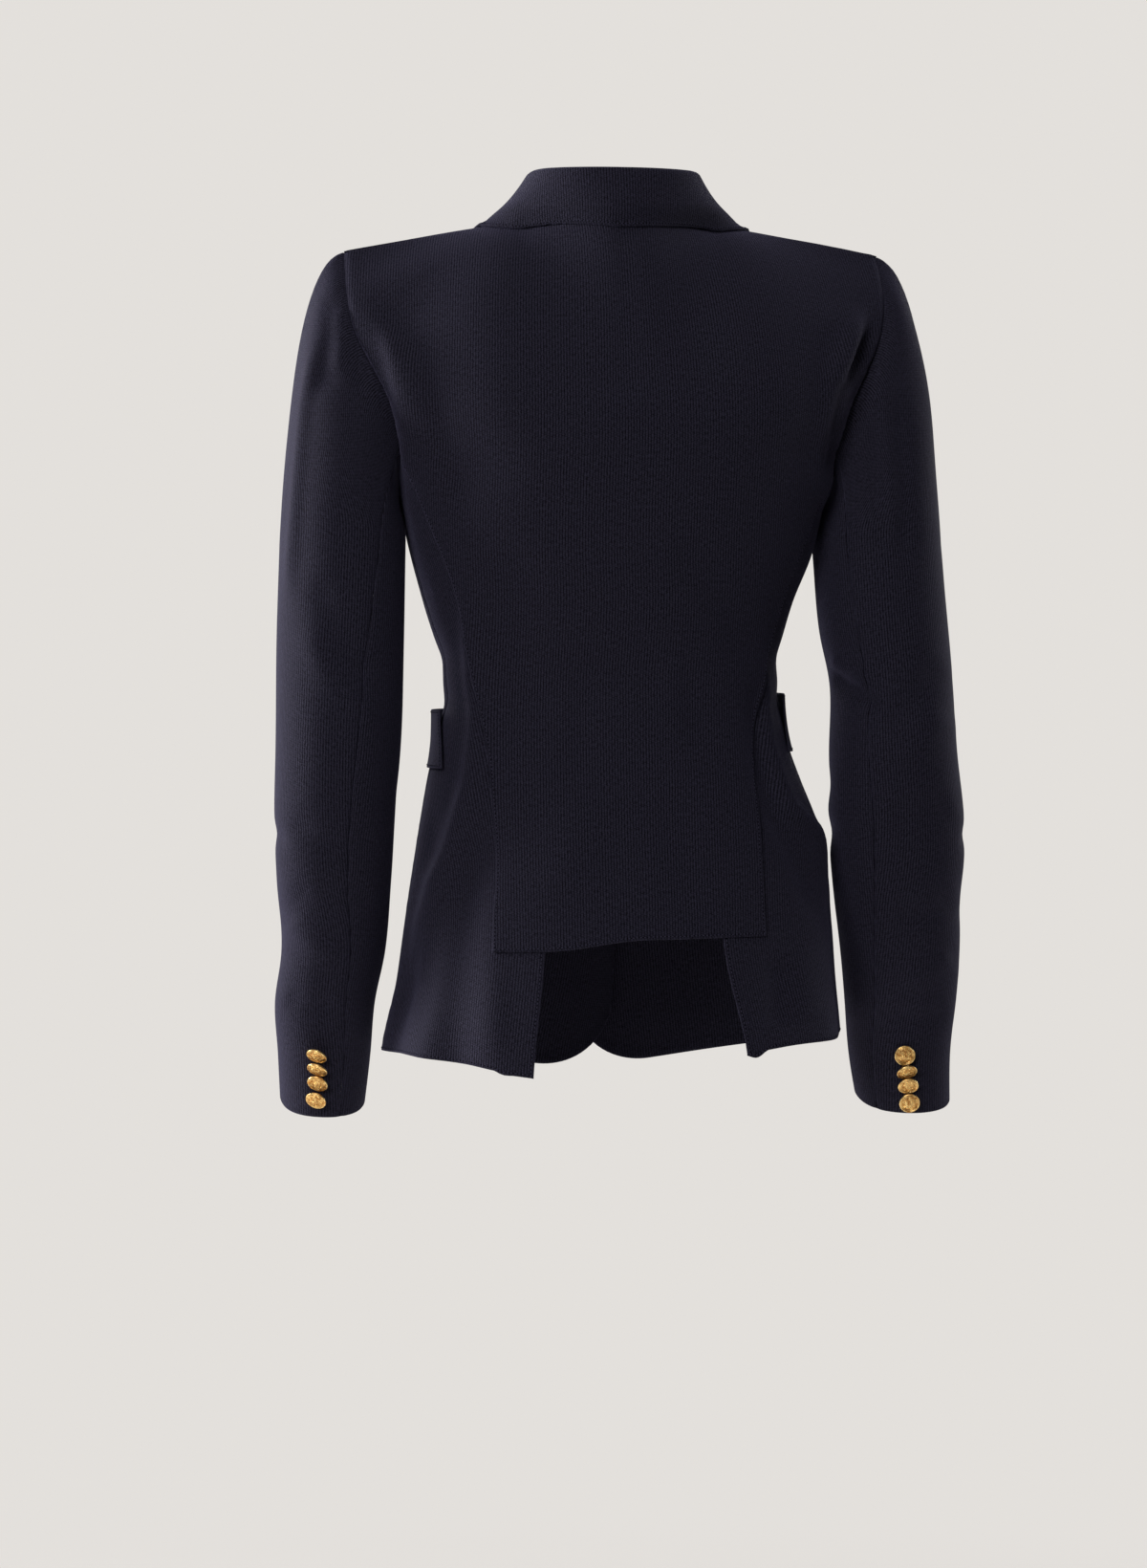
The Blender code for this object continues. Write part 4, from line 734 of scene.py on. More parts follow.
def stroke_distance(points, line):
    """Distance to a drawn line, how far along it (0 to 1) and on which side, in the line's plane."""
    best = np.full(points.shape[:-1], 9.0)
    share, side = np.zeros(points.shape[:-1]), np.zeros(points.shape[:-1])
    lengths = np.linalg.norm(np.diff(line, axis=0), axis=1)
    before = np.concatenate([[0.0], np.cumsum(lengths)])
    for k in range(len(line) - 1):
        a, b = line[k], line[k + 1]
        t = np.clip(((points - a) @ (b - a)) / lengths[k] ** 2, 0, 1)
        gap = np.linalg.norm(points - (a + t[..., None] * (b - a)), axis=-1)
        closer = gap < best
        best = np.where(closer, gap, best)
        share = np.where(closer, (before[k] + t * lengths[k]) / before[-1], share)
        turned = (b - a)[0] * (points - a)[..., 1] - (b - a)[1] * (points - a)[..., 0]
        side = np.where(closer, turned, side)
    return best, share, side


def creases(points, normals, strokes):
    """Height of the soft ridges (up) and troughs (down) drawn on one side of the garment."""
    axes = {"back": (0, 1, 1.0), "front": (0, 1, -1.0), "left": (1, 0, 1.0), "right": (1, 0, -1.0)}
    near = 1 - points[..., 1:2] / VIEW_DISTANCE
    flats = {facing: points[..., (across, 2)] for facing, (across, _, _) in axes.items()}
    turned = points[..., :1] * math.cos(VIEW_TURN) - points[..., 1:2] * math.sin(VIEW_TURN)
    flats["back"] = np.concatenate([turned / near, VIEW_HEIGHT + (points[..., 2:] - VIEW_HEIGHT) / near], -1)
    height = np.zeros(points.shape[:-1])
    for facing, *width, depth, line in strokes:
        _, towards, sign = axes[facing]
        gap, share, turned = stroke_distance(flats[facing], np.reshape(line, (-1, 2)) / 1000)
        width = np.where(turned > 0, width[0], width[-1]) / 1000
        seen = ease(normals[..., towards] * sign / 0.35)
        ends = ease(share / 0.2) * ease((1 - share) / 0.2)
        height = height + depth / 1000 * seen * ends * np.exp(-((gap / width) ** 2))
    return height


class Sheet:
    """One piece of cloth: a fine grid on its outer face, as first laid and as shaped, its grain and edges."""

    def __init__(self, name, points, middle, grain_at=(0, 0)):
        self.name = name
        self.base = points.copy()
        self.points = points
        normals = grid_normals(points)
        if np.sum(normals * (points - np.array(middle))) < 0:
            normals = -normals
        self.normals = normals
        self.uv = grain(points, *grain_at)
        self.far = border_distance(points)

    def raise_by(self, height):
        self.points = self.points + self.normals * height[..., None]

    def settle(self):
        """Works out the normals again after the cloth has been shaped."""
        normals = grid_normals(self.points)
        self.normals = np.where(np.sum(normals * self.normals, -1, keepdims=True) < 0, -normals, normals)

    def seam(self, *borders, dip, width=0.0026):
        for border in borders:
            self.raise_by(-dip * np.exp(-((self.far[border] / width) ** 2)))

    def pucker(self, border, height, wave, seed, reach=0.007):
        """Small ripples along a stitched edge."""
        along = self.uv[..., 1] if border in ("left", "right") else self.uv[..., 0]
        dice = np.random.default_rng(seed)
        ripple = np.sin(along * 2 * math.pi / wave + dice.uniform(0, 6)) * 0.6
        ripple = ripple + np.sin(along * 2 * math.pi / (wave * 1.63) + dice.uniform(0, 6)) * 0.5
        near = np.exp(-(((self.far[border] - reach * 0.5) / reach) ** 2))
        self.raise_by(height * ripple * near)


def seam_moves(sheets, points, reach=0.008):
    """How far the sheets' nearest cloth has moved from its first place, at each of some points."""
    first = np.concatenate([sheet.base.reshape(-1, 3) for sheet in sheets])
    moved = np.concatenate([(sheet.points - sheet.base).reshape(-1, 3) for sheet in sheets])
    tree = KDTree(len(first))
    for k, point in enumerate(first):
        tree.insert(point, k)
    tree.balance()
    found = [tree.find(Vector(point)) for point in points.reshape(-1, 3)]
    moves = np.array([moved[k] if gap < reach else np.zeros(3) for _, k, gap in found])
    return moves.reshape(points.shape)


def shell_mesh(sheet, wall, hems, hem_wall):
    """A closed cloth shell: outer face, inner face and a rounded rim all round."""
    points, normals = sheet.points, sheet.normals
    rows, columns = points.shape[:2]
    thick = np.full((rows, columns), wall)
    for hem in hems:
        thick = np.maximum(thick, wall + (hem_wall - wall) * ease(1.35 - sheet.far[hem] / HEM_FOLD))
    ring = [(0, j) for j in range(columns)] + [(i, columns - 1) for i in range(1, rows)]
    ring += [(rows - 1, j) for j in range(columns - 2, -1, -1)] + [(i, 0) for i in range(rows - 2, 0, -1)]
    ii, jj = np.array(ring).T
    ni, nj = np.clip(ii, 1, rows - 2), np.clip(jj, 1, columns - 2)
    away = points[ii, jj] - points[ni, nj]
    up = normals[ii, jj]
    away = unit(away - np.sum(away * up, -1, keepdims=True) * up)
    half = thick[ii, jj][:, None] / 2
    outer = points.copy()
    outer[ii, jj] -= away * (half + SEAM_GAP / 2)
    inner = outer - normals * thick[..., None]
    middle = outer[ii, jj] - up * half
    verts = [outer.reshape(-1, 3), inner.reshape(-1, 3)]
    for turn in (60.0, 120.0):
        c, s = math.cos(math.radians(turn)), math.sin(math.radians(turn))
        verts.append(middle + half * (c * up + s * away))
    count = rows * columns
    quads = grid_faces(rows, columns)
    faces = [quads, quads[:, ::-1] + count]
    rim = 2 * count + np.arange(len(ring))
    loops = [ii * columns + jj, rim, rim + len(ring), count + ii * columns + jj]
    for upper, lower in zip(loops, loops[1:]):
        faces.append(np.stack([np.roll(upper, -1), upper, lower, np.roll(lower, -1)], -1))
    faces = np.concatenate(faces)
    flat = sheet.uv.reshape(-1, 2)
    rim_uv = sheet.uv[ii, jj]
    uvs = np.concatenate([flat, flat, rim_uv + 0.0004, rim_uv + 0.0008])
    verts = np.concatenate(verts)
    p = verts[faces[0]]
    if np.cross(p[1] - p[0], p[2] - p[1]) @ normals[0, 0] < 0:
        faces = faces[:, ::-1]
    return verts, faces, uvs


def add_mesh(context, name, verts, faces, material, uvs=None):
    """Links a new mesh object, made from numpy arrays of points and of four-cornered faces."""
    data = bpy.data.meshes.new(name)
    data.vertices.add(len(verts))
    data.vertices.foreach_set("co", np.asarray(verts, np.float32).reshape(-1))
    data.loops.add(faces.size)
    data.loops.foreach_set("vertex_index", faces.reshape(-1).astype(np.int32))
    data.polygons.add(len(faces))
    data.polygons.foreach_set("loop_start", np.arange(0, faces.size, faces.shape[1], dtype=np.int32))
    data.update(calc_edges=True)
    if uvs is not None:
        layer = data.uv_layers.new(name="grain")
        layer.data.foreach_set("uv", uvs[faces.reshape(-1)].astype(np.float32).reshape(-1))
    data.validate()
    data.shade_smooth()
    data.materials.append(material)
    thing = bpy.data.objects.new(name, data)
    context.scene.collection.objects.link(thing)
    return thing


def add_cloth(context, sheet, *hems):
    looks = context.scene.blazer_cloth
    verts, faces, uvs = shell_mesh(sheet, looks.wall, hems, looks.hem_wall)
    material = material_of("navy_rib_cloth", cloth_surface, looks)
    thing = add_mesh(context, "cloth_" + sheet.name, verts, faces, material, uvs)
    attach(thing, "root")
    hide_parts(sheet.name)


def stations(lengths, cell):
    """Parameters 0, 1, 2... at the ends of stretches with these lengths, on rows evenly spread in metres."""
    knots = np.concatenate([[0.0], np.cumsum(lengths)])
    return np.interp(shares(knots[-1], cell) * knots[-1], knots, np.arange(len(knots)))


@functools.lru_cache
def body_sheets(cell, roughness, dip, pucker):
    """The back, two side panels and two fronts, with their folds and seams."""
    sheets = {}
    across, height = stations((0.17, 0.17), cell) - 1, stations((0.36, 0.21), cell)[:, None]
    sheets["back"] = Sheet("back", back_point(across[None, :], height), (0, 0, -0.25), (60, len(across) // 2))
    for side in SIDES:
        across, up = stations((0.03, 0.075), cell) - 1, stations((0.43,), cell)
        points = side_back_point(side, across[None, :], up[:, None])
        sheets["side_back_" + side] = Sheet("side_back_" + side, points, (0, 0, -0.4), (60, 0))
        rows = np.interp(stations((0.41, 0.06, 0.19), cell), (0, 1, 2, 3), (0, FRONT_TURN, 1, 2))
        rows = np.sort(np.append(rows[np.abs(rows - FRONT_TURN) > 0.003], FRONT_TURN))
        points = front_point(side, shares(0.19, cell)[None, :], rows[:, None])
        sheets["front_" + side] = Sheet("front_" + side, points, (0, 0, -0.3), (60, 0))
    for k, sheet in enumerate(sheets.values()):
        sheet.raise_by(roughness * unevenness(sheet.uv, 20 + k))
        sheet.raise_by(creases(sheet.points, sheet.normals, BODY_STROKES))
        sheet.settle()
    back = sheets["back"]
    back.seam("bottom", dip=dip)
    back.seam("left", "right", dip=ARMHOLE_DIP * dip * ease((height - 0.98) / 0.06), width=0.0024)
    for k, edge in enumerate(("left", "right")):
        back.pucker(edge, pucker, 0.0085, 3 + k)
    for side in SIDES:
        panel, front = sheets["side_back_" + side], sheets["front_" + side]
        panel.seam("right", dip=dip)
        front.seam("left", "bottom", dip=dip)
        front.pucker("left", pucker * 0.7, 0.010, 5)
    for sheet in sheets.values():
        sheet.settle()
    return sheets


def body_of(looks):
    """The body's sheets, made once for each set of looks."""
    return body_sheets(looks.cell, looks.unevenness, looks.seam_dip, looks.pucker)


def tree_of(*sheets):
    """The outer faces of some sheets, for laying others on them."""
    verts, polys = [], []
    for sheet in sheets:
        quads = grid_faces(*sheet.points.shape[:2]) + len(verts)
        verts += [Vector(p) for p in sheet.points.reshape(-1, 3)]
        p = sheet.points
        if np.cross(p[0, 1] - p[0, 0], p[1, 1] - p[0, 1]) @ sheet.normals[0, 0] < 0:
            quads = quads[:, ::-1]
        polys += quads.tolist()
    return BVHTree.FromPolygons(verts, polys)


def lay_on(tree, points, clear, seat=None, reach=0.012):
    """Pushes points out clear of a surface. Where seat is 1 they are brought down onto it."""
    flat = points.reshape(-1, 3)
    clears = np.broadcast_to(clear, points.shape[:-1]).reshape(-1)
    seats = np.zeros(len(flat)) if seat is None else np.broadcast_to(seat, points.shape[:-1]).reshape(-1)
    moved = flat.copy()
    for k, point in enumerate(flat):
        near, normal, _, gap = tree.find_nearest(Vector(point))
        height = (Vector(point) - near).dot(normal)
        if seats[k] > 0:
            moved[k] = point + np.array(normal) * (clears[k] - height) * seats[k]
        elif height < clears[k] and gap < reach:
            moved[k] = point + np.array(normal) * (clears[k] - height)
    return moved.reshape(points.shape)


def allowance(side, points, wall):
    """Rows of a sleeve's seam allowance, turned in under the body's cloth at the armhole."""
    middle = np.array([SIDES[side] * 0.12, -0.004, -0.10])
    outwards = np.array(SLEEVE_AXIS) * (SIDES[side], 1, 1)
    away = points - middle
    away = unit(away - (away @ outwards)[:, None] * outwards)
    return np.stack([points - outwards * into - away * (wall + under) for into, under in ALLOWANCE])


def sleeve_sheets(looks, side):
    """The top and under sleeve, set into the armhole."""
    knots = np.concatenate([ROWS_HIGH, 2 - np.array(ROWS_HIGH)[-2::-1]])
    over = stations((0.19, 0.19), looks.cell)
    top = np.where(over[:, None] <= 1, back_point(SIDES[side], 1 + np.clip(over, 0, 1)),
                   front_point(side, 0.0, 1 + np.clip(2 - over, 0, 1)))
    top_share = smooth(knots, np.linspace(0, 1, len(knots)), over)
    below = stations((0.055, 0.050), looks.cell)
    at_seam, at_side = np.abs(seam_angle(side, CHEST)), np.abs(side_angle(side, UNDERARM))
    angle = mix(at_side, at_seam, np.clip(below - 1, 0, 1))
    under = np.where(below[:, None] <= 1, front_point(side, 0.0, mix(1.0, FRONT_TURN, np.clip(below, 0, 1))),
                     body_point(SIDES[side] * angle, armhole_height(side, angle)))
    under_share = np.interp(below, (0, 1, 2), (0, 3 / 7, 1))
    rows = stations((0.10, 0.42), looks.cell)
    middle = (SIDES[side] * 0.208, 0.0, -0.35)
    tab = SLEEVE[side]
    body_tree = tree_of(*body_of(looks).values())
    made = []
    for name, points, part, start, stop in (
            ("top_sleeve_", top, top_share, 0.0, FRONT_ARM_SEAM),
            ("under_sleeve_", under, under_share, FRONT_ARM_SEAM, 360.0)):
        def angles(z, part=part, start=start, stop=stop):
            seam = read(tab, "seam", z)
            return mix(seam, stop, part) if start == 0.0 else mix(start, seam + stop, part)
        tucked = allowance(side, points, looks.wall)
        panel = np.concatenate([tucked, sleeve_panel(side, points, angles, rows)])
        sheet = Sheet(name + side, panel, middle, (20, len(part) // 2))
        sheet.raise_by(looks.unevenness * unevenness(sheet.uv, 40 + len(made) + (7 if side == "left" else 0)))
        sheet.raise_by(creases(sheet.points, sheet.normals, SLEEVE_STROKES[side]))
        sheet.settle()
        sheet.seam("left", "right", dip=looks.seam_dip)
        row = len(ALLOWANCE)
        edge = sheet.base[:row + 1]
        wanted = seam_moves(body_of(looks).values(), edge) - (sheet.points[:row + 1] - edge)
        past = np.exp(-(((sheet.far["top"] - sheet.far["top"][row]) / 0.010) ** 2))[row + 1:, :, None]
        sheet.points = sheet.points + np.concatenate([wanted, wanted[-1:] * past])
        sheet.points[:row] = lay_on(body_tree, sheet.points[:row], -(looks.wall + 0.0007), 1.0)
        made.append(sheet)
    top_sheet = made[0]
    vent = ease((-0.560 - top_sheet.points[..., 2]) / 0.015) * np.exp(-((top_sheet.far["left"] / 0.016) ** 2))
    top_sheet.raise_by(0.0005 * vent)
    for sheet in made:
        sheet.settle()
    return made


def lapel_sheet(looks, side, front):
    """A lapel: rolled over at the front edge and laid on its front."""
    tree = tree_of(front)
    v = mix(LAPEL_START[side], GORGE, stations((0.27,), looks.cell))[:, None]
    share = stations((0.085,), looks.cell)[None, :]
    share = share[:, 2:]
    drop = ease((v - LAPEL_START[side]) / (GORGE - LAPEL_START[side]) * 1.6 - 0.6) * GORGE_DROP
    flat = lapel_point(side, share, v - drop * share)
    clear = looks.wall + 0.0006
    flat = lay_on(tree, flat, clear, np.ones(flat.shape[:2]))
    edge = front_point(side, 1.0, v[:, 0])
    inside = front_point(side, 0.97, v[:, 0])
    away = unit(edge - inside)
    normals = grid_normals(flat)
    out = normals[:, 0] * np.sign(np.sum(normals[:, 0] * (flat[:, 0] - np.array([0, 0, -0.3])), -1))[:, None]
    radius = mix(0.0012, looks.lapel_roll, ease((v - LAPEL_START[side]) / 0.5))
    center = edge + out * (radius + clear * 0.5)
    roll = [center + radius * (away * math.sin(a) - out * math.cos(a)) for a in np.radians(LAPEL_TURNS)]
    lift = 2 * radius * np.exp(-((share * read(LAPEL_WIDTH, "width", v, by="up") / 0.014) ** 1.6))
    flat = flat + out[:, None, :] * lift[..., None]
    return Sheet("lapel_" + side, np.concatenate([np.stack(roll, 1), flat], 1), (0, 0.05, -0.2), (0, 0))


def collar_sheet(looks, body):
    """The collar: up the stand, round the roll line and down over the shoulders."""
    along = 2 * shares(0.50, looks.cell) - 1
    up = GORGE - GORGE_DROP * COLLAR_END
    gorges = {side: lapel_point(side, COLLAR_END, up).reshape(3) for side in SIDES}
    grid = np.array([collar_section(t, neck, gorges["left" if t >= 0 else "right"])
                     for t, neck in zip(along, neck_seam(along))])
    for _ in range(COLLAR_SMOOTHING):
        grid[1:-1, 2:] = (grid[:-2, 2:] + 2 * grid[1:-1, 2:] + grid[2:, 2:]) / 4
    moved = seam_moves(body, grid[:, 0])
    for k, share in enumerate((1.0, 0.6, 0.3)):
        grid[:, k] += moved * share
    seat = np.zeros(grid.shape[:2])
    fall = grid.shape[1] - FALL_POINTS
    lift = read(COLLAR_LIFT, "lift", grid[:, -1, 0], by="across")
    grid[:, fall:, 2] += lift[:, None] * (np.arange(1, FALL_POINTS + 1) / FALL_POINTS) ** 2
    seat[:, fall:] = ease((np.linspace(0, 1, FALL_POINTS) - 0.55) / 0.45)[None, :] ** 2
    grid[:, fall:] = lay_on(tree_of(*body), grid[:, fall:], looks.wall + looks.collar_gap, seat[:, fall:])
    sheet = Sheet("collar", grid, (0, 0, 0), (len(along) // 2, 0))
    sheet.uv = sheet.uv[..., ::-1].copy()
    return sheet


def welt_sheet(looks, side, body):
    back_low, back_high, stop = WELT_ANGLES[side]
    ahead = stations((0.125,), looks.cell)[None, :]
    up = stations((WELT_HEIGHT,), looks.cell)[:, None]
    angles = mix(mix(back_low, back_high, up), stop, ahead)
    z = WELT_TOP[side] - WELT_HEIGHT * (1 - up) + 0.004 * ahead
    gape = WELT_GAPE * up ** 1.6 * np.sin(math.pi * (ahead * 0.9 + 0.06)) ** 0.6
    points = body_point(SIDES[side] * angles, z, looks.wall + 0.0008 + gape)
    points = lay_on(tree_of(*body), points, looks.wall + 0.0006)
    return Sheet("pocket_welt_" + side, points, (0, 0, -0.38), (0, 0))


def edge_run(sheet, border, inset, start=0.0, stop=1.0):
    """Points and normals that run along a sheet's edge, inset from it, between two shares of its length."""
    points, normals, far = sheet.points, sheet.normals, sheet.far[border]
    if border in ("top", "bottom"):
        points, normals, far = points.swapaxes(0, 1), normals.swapaxes(0, 1), far.T
    runs = []
    for p, n, d in zip(points, normals, far):
        order = np.argsort(d)
        runs.append([[np.interp(inset, d[order], grid[order, k]) for k in range(3)] for grid in (p, n)])
    runs = np.array(runs)
    first, last = int(round(start * (len(runs) - 1))), int(round(stop * (len(runs) - 1)))
    return runs[first:last + 1, 0], unit(runs[first:last + 1, 1])


def stitch_line(looks, points, normals, seed, length, first):
    """Corners and faces of a row of short rounded marks along a line on the cloth."""
    far = np.concatenate([[0.0], np.cumsum(np.linalg.norm(np.diff(points, axis=0), axis=1))])
    dice, pitch = np.random.default_rng(seed), looks.stitch_pitch
    at = np.arange(pitch * first, far[-1] - pitch * 0.5, pitch)
    at = at + dice.uniform(-0.05, 0.05, len(at)) * pitch

    def on_line(where, values):
        return np.stack([np.interp(where, far, values[:, k]) for k in range(3)], -1)

    half = length / 2
    tail, head = on_line(at - half, points), on_line(at + half, points)
    up = unit(on_line(at, normals))
    run = unit(head - tail)
    side = unit(np.cross(up, run))
    verts, faces = [], []
    rings = ((-1.0, 0.35, -0.9), (-0.72, 0.85, -0.1), (0.0, 1.0, 0.25), (0.72, 0.85, -0.1), (1.0, 0.35, -0.9))
    for along, wide, high in rings:
        middle = (tail + head) / 2 + run * along * half + up * looks.stitch_radius * high
        for k in range(6):
            turn = math.pi * k / 3
            verts.append(middle + looks.stitch_radius * wide * (side * math.cos(turn) + up * math.sin(turn)))
    verts = np.stack(verts, 1)
    for ring in range(len(rings) - 1):
        for k in range(6):
            a, b = ring * 6 + k, ring * 6 + (k + 1) % 6
            faces.append((a, b, b + 6, a + 6))
    faces = np.array(faces)[None] + (np.arange(len(at)) * len(rings) * 6)[:, None, None]
    return verts.reshape(-1, 3), faces.reshape(-1, 4)


def add_stitches(context, name, lines):
    """Rows of stitches, brightened by a painted highlight, and of dark marks of painted shade for the holes
    between them. Each line is points, normals.
    """
    looks = context.scene.blazer_sewing
    # The stitches get a painted highlight and the holes between them painted shade, as shares of the cloth's
    # colour
    for kind, length, first, shade in (("stitches_", looks.stitch_length, 0.7, looks.thread_painted_highlight),
                                       ("holes_", looks.hole_length, 1.2, looks.hole_painted_shade)):
        verts, faces, count = [], [], 0
        for k, (points, normals) in enumerate(lines):
            v, f = stitch_line(looks, points, normals, k, length, first)
            verts.append(v)
            faces.append(f + count)
            count += len(v)
        material = material_of(kind + "thread", thread_surface, context.scene.blazer_cloth, shade)
        thing = add_mesh(context, kind + name, np.concatenate(verts), np.concatenate(faces), material)
        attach(thing, "root")


def chain(tree, kind, operation=None, inputs=(), named=None, **settings):
    """Adds a node. Inputs, in their order or by name, are numbers, colours, or other nodes' outputs."""
    node = tree.nodes.new(kind)
    if operation:
        node.operation = operation
    for key, value in settings.items():
        setattr(node, key, value)
    set_inputs(tree, node, dict(enumerate(inputs)))
    set_inputs(tree, node, named or {})
    return node


def set_inputs(tree, node, inputs):
    for key, value in inputs.items():
        if isinstance(value, bpy.types.NodeSocket):
            tree.links.new(value, node.inputs[key])
        else:
            node.inputs[key].default_value = value


def material_of(name, build, *settings):
    """The material of this name, built the first time that it is asked for."""
    if name not in bpy.data.materials:
        material = bpy.data.materials.new(name)
        material.use_nodes = True
        tree = material.node_tree
        set_inputs(tree, tree.nodes["Principled BSDF"], build(tree, *settings))
    return bpy.data.materials[name]


def shaded(color, share):
    return (*(c * share for c in color), 1.0)


def cloth_surface(tree, looks):
    """Fine vertical ribs with a broken, grainy face, painted shade in the ribs' valleys, painted light on
    their crests and a soft sheen.
    """
    def math_node(operation, *inputs):
        return chain(tree, "ShaderNodeMath", operation, inputs).outputs[0]

    grain_map = chain(tree, "ShaderNodeUVMap", uv_map="grain").outputs[0]
    split = chain(tree, "ShaderNodeSeparateXYZ", inputs=(grain_map,))
    rib_at = math_node("MULTIPLY", split.outputs[0], 1 / looks.rib_pitch)
    rib = math_node("COSINE", math_node("MULTIPLY", rib_at, 2 * math.pi))
    shift = math_node("MULTIPLY", math_node("ROUND", rib_at), math.pi)
    pick_turn = 2 * math.pi / looks.pick_pitch
    pick = math_node("COSINE", math_node("MULTIPLY_ADD", split.outputs[1], pick_turn, shift))
    stretched = chain(tree, "ShaderNodeMapping", inputs=(grain_map,), named={"Scale": (1.0, 0.45, 1.0)})
    fuzz = chain(tree, "ShaderNodeTexNoise", inputs=(stretched.outputs[0],),
                 named={"Scale": 900.0, "Detail": 3.0})
    ribs = math_node("MULTIPLY_ADD", pick, 0.35, math_node("MULTIPLY", rib, 0.7))
    height = math_node("MULTIPLY_ADD", fuzz.outputs["Fac"], 4.0, ribs)
    bump = chain(tree, "ShaderNodeBump", named={
        "Strength": looks.rib_strength, "Distance": looks.rib_depth, "Height": height})
    # Colour from the relief: random grain tone, plus painted shade in the rib valleys and painted light on
    # the rib crests
    grain_and_rib_shade = chain(tree, "ShaderNodeMapRange", inputs=(height, 0.9, 3.1, 0.0, 1.0))
    color = chain(tree, "ShaderNodeMix", data_type="RGBA", named={
        "A": shaded(looks.color, looks.rib_valley_shade), "B": shaded(looks.color, 2 - looks.rib_valley_shade),
        "Factor": grain_and_rib_shade.outputs[0]})
    return {
        "Normal": bump.outputs["Normal"], "Base Color": color.outputs["Result"], "Roughness": 0.78,
        "Specular IOR Level": 0.05, "Specular Tint": (0.82, 0.78, 1.0, 1.0),
        "Sheen Weight": looks.sheen, "Sheen Roughness": 0.45, "Sheen Tint": (0.58, 0.55, 0.95, 1.0),
    }


# shade scales the cloth's colour: above 1 it is a painted highlight on the stitches, below 1 painted shade in
# the holes
def thread_surface(tree, looks, shade):
    return {"Base Color": shaded(looks.color, shade), "Roughness": 0.8, "Specular IOR Level": 0.02}


def gold_surface(tree, looks):
    """Warm aged metal, darker and rougher in patches."""
    place = chain(tree, "ShaderNodeTexCoord").outputs["Object"]
    wear = chain(tree, "ShaderNodeTexNoise", inputs=(place,), named={"Scale": 420.0, "Detail": 4.0})
    amount = chain(tree, "ShaderNodeMapRange", inputs=(wear.outputs["Fac"], 0.36, 0.58, 0.0, 1.0))
    rough = chain(tree, "ShaderNodeMapRange", inputs=(wear.outputs["Fac"], 0.35, 0.65, 0.42, 0.24))
    color = chain(tree, "ShaderNodeMix", data_type="RGBA", named={
        "A": shaded(looks.shade, 1), "B": shaded(looks.color, 1), "Factor": amount.outputs[0]})
    return {"Base Color": color.outputs["Result"], "Roughness": rough.outputs[0], "Metallic": 1.0}


def floor_surface(tree, stage):
    """A pale floor that fades into the backdrop."""
    place = chain(tree, "ShaderNodeTexCoord").outputs["Object"]
    far = chain(tree, "ShaderNodeVectorMath", "LENGTH", (place,)).outputs["Value"]
    fade = chain(tree, "ShaderNodeMapRange", interpolation_type="SMOOTHSTEP",
                 inputs=(far, stage.floor_radius * FLOOR_WHOLE, stage.floor_radius, 1.0, 0.0))
    return {"Base Color": (0.80, 0.78, 0.755, 1.0), "Roughness": 0.9, "Alpha": fade.outputs[0]}


def ready(context):
    """Leaves edit mode and selects nothing, as every modelling step starts."""
    if context.object is not None and context.object.mode != "OBJECT":
        bpy.ops.object.mode_set(mode="OBJECT")
    bpy.ops.object.select_all(action="DESELECT")


def join_parts(context, parts, name):
    """Applies the parts' places and joins them into one object."""
    ready(context)
    for part in parts:
        part.select_set(True)
    context.view_layer.objects.active = parts[0]
    bpy.ops.object.transform_apply(location=True, rotation=True, scale=True)
    bpy.ops.object.join()
    whole = context.view_layer.objects.active
    whole.name = name
    bpy.ops.object.shade_smooth_by_angle(angle=math.radians(50))
    return whole


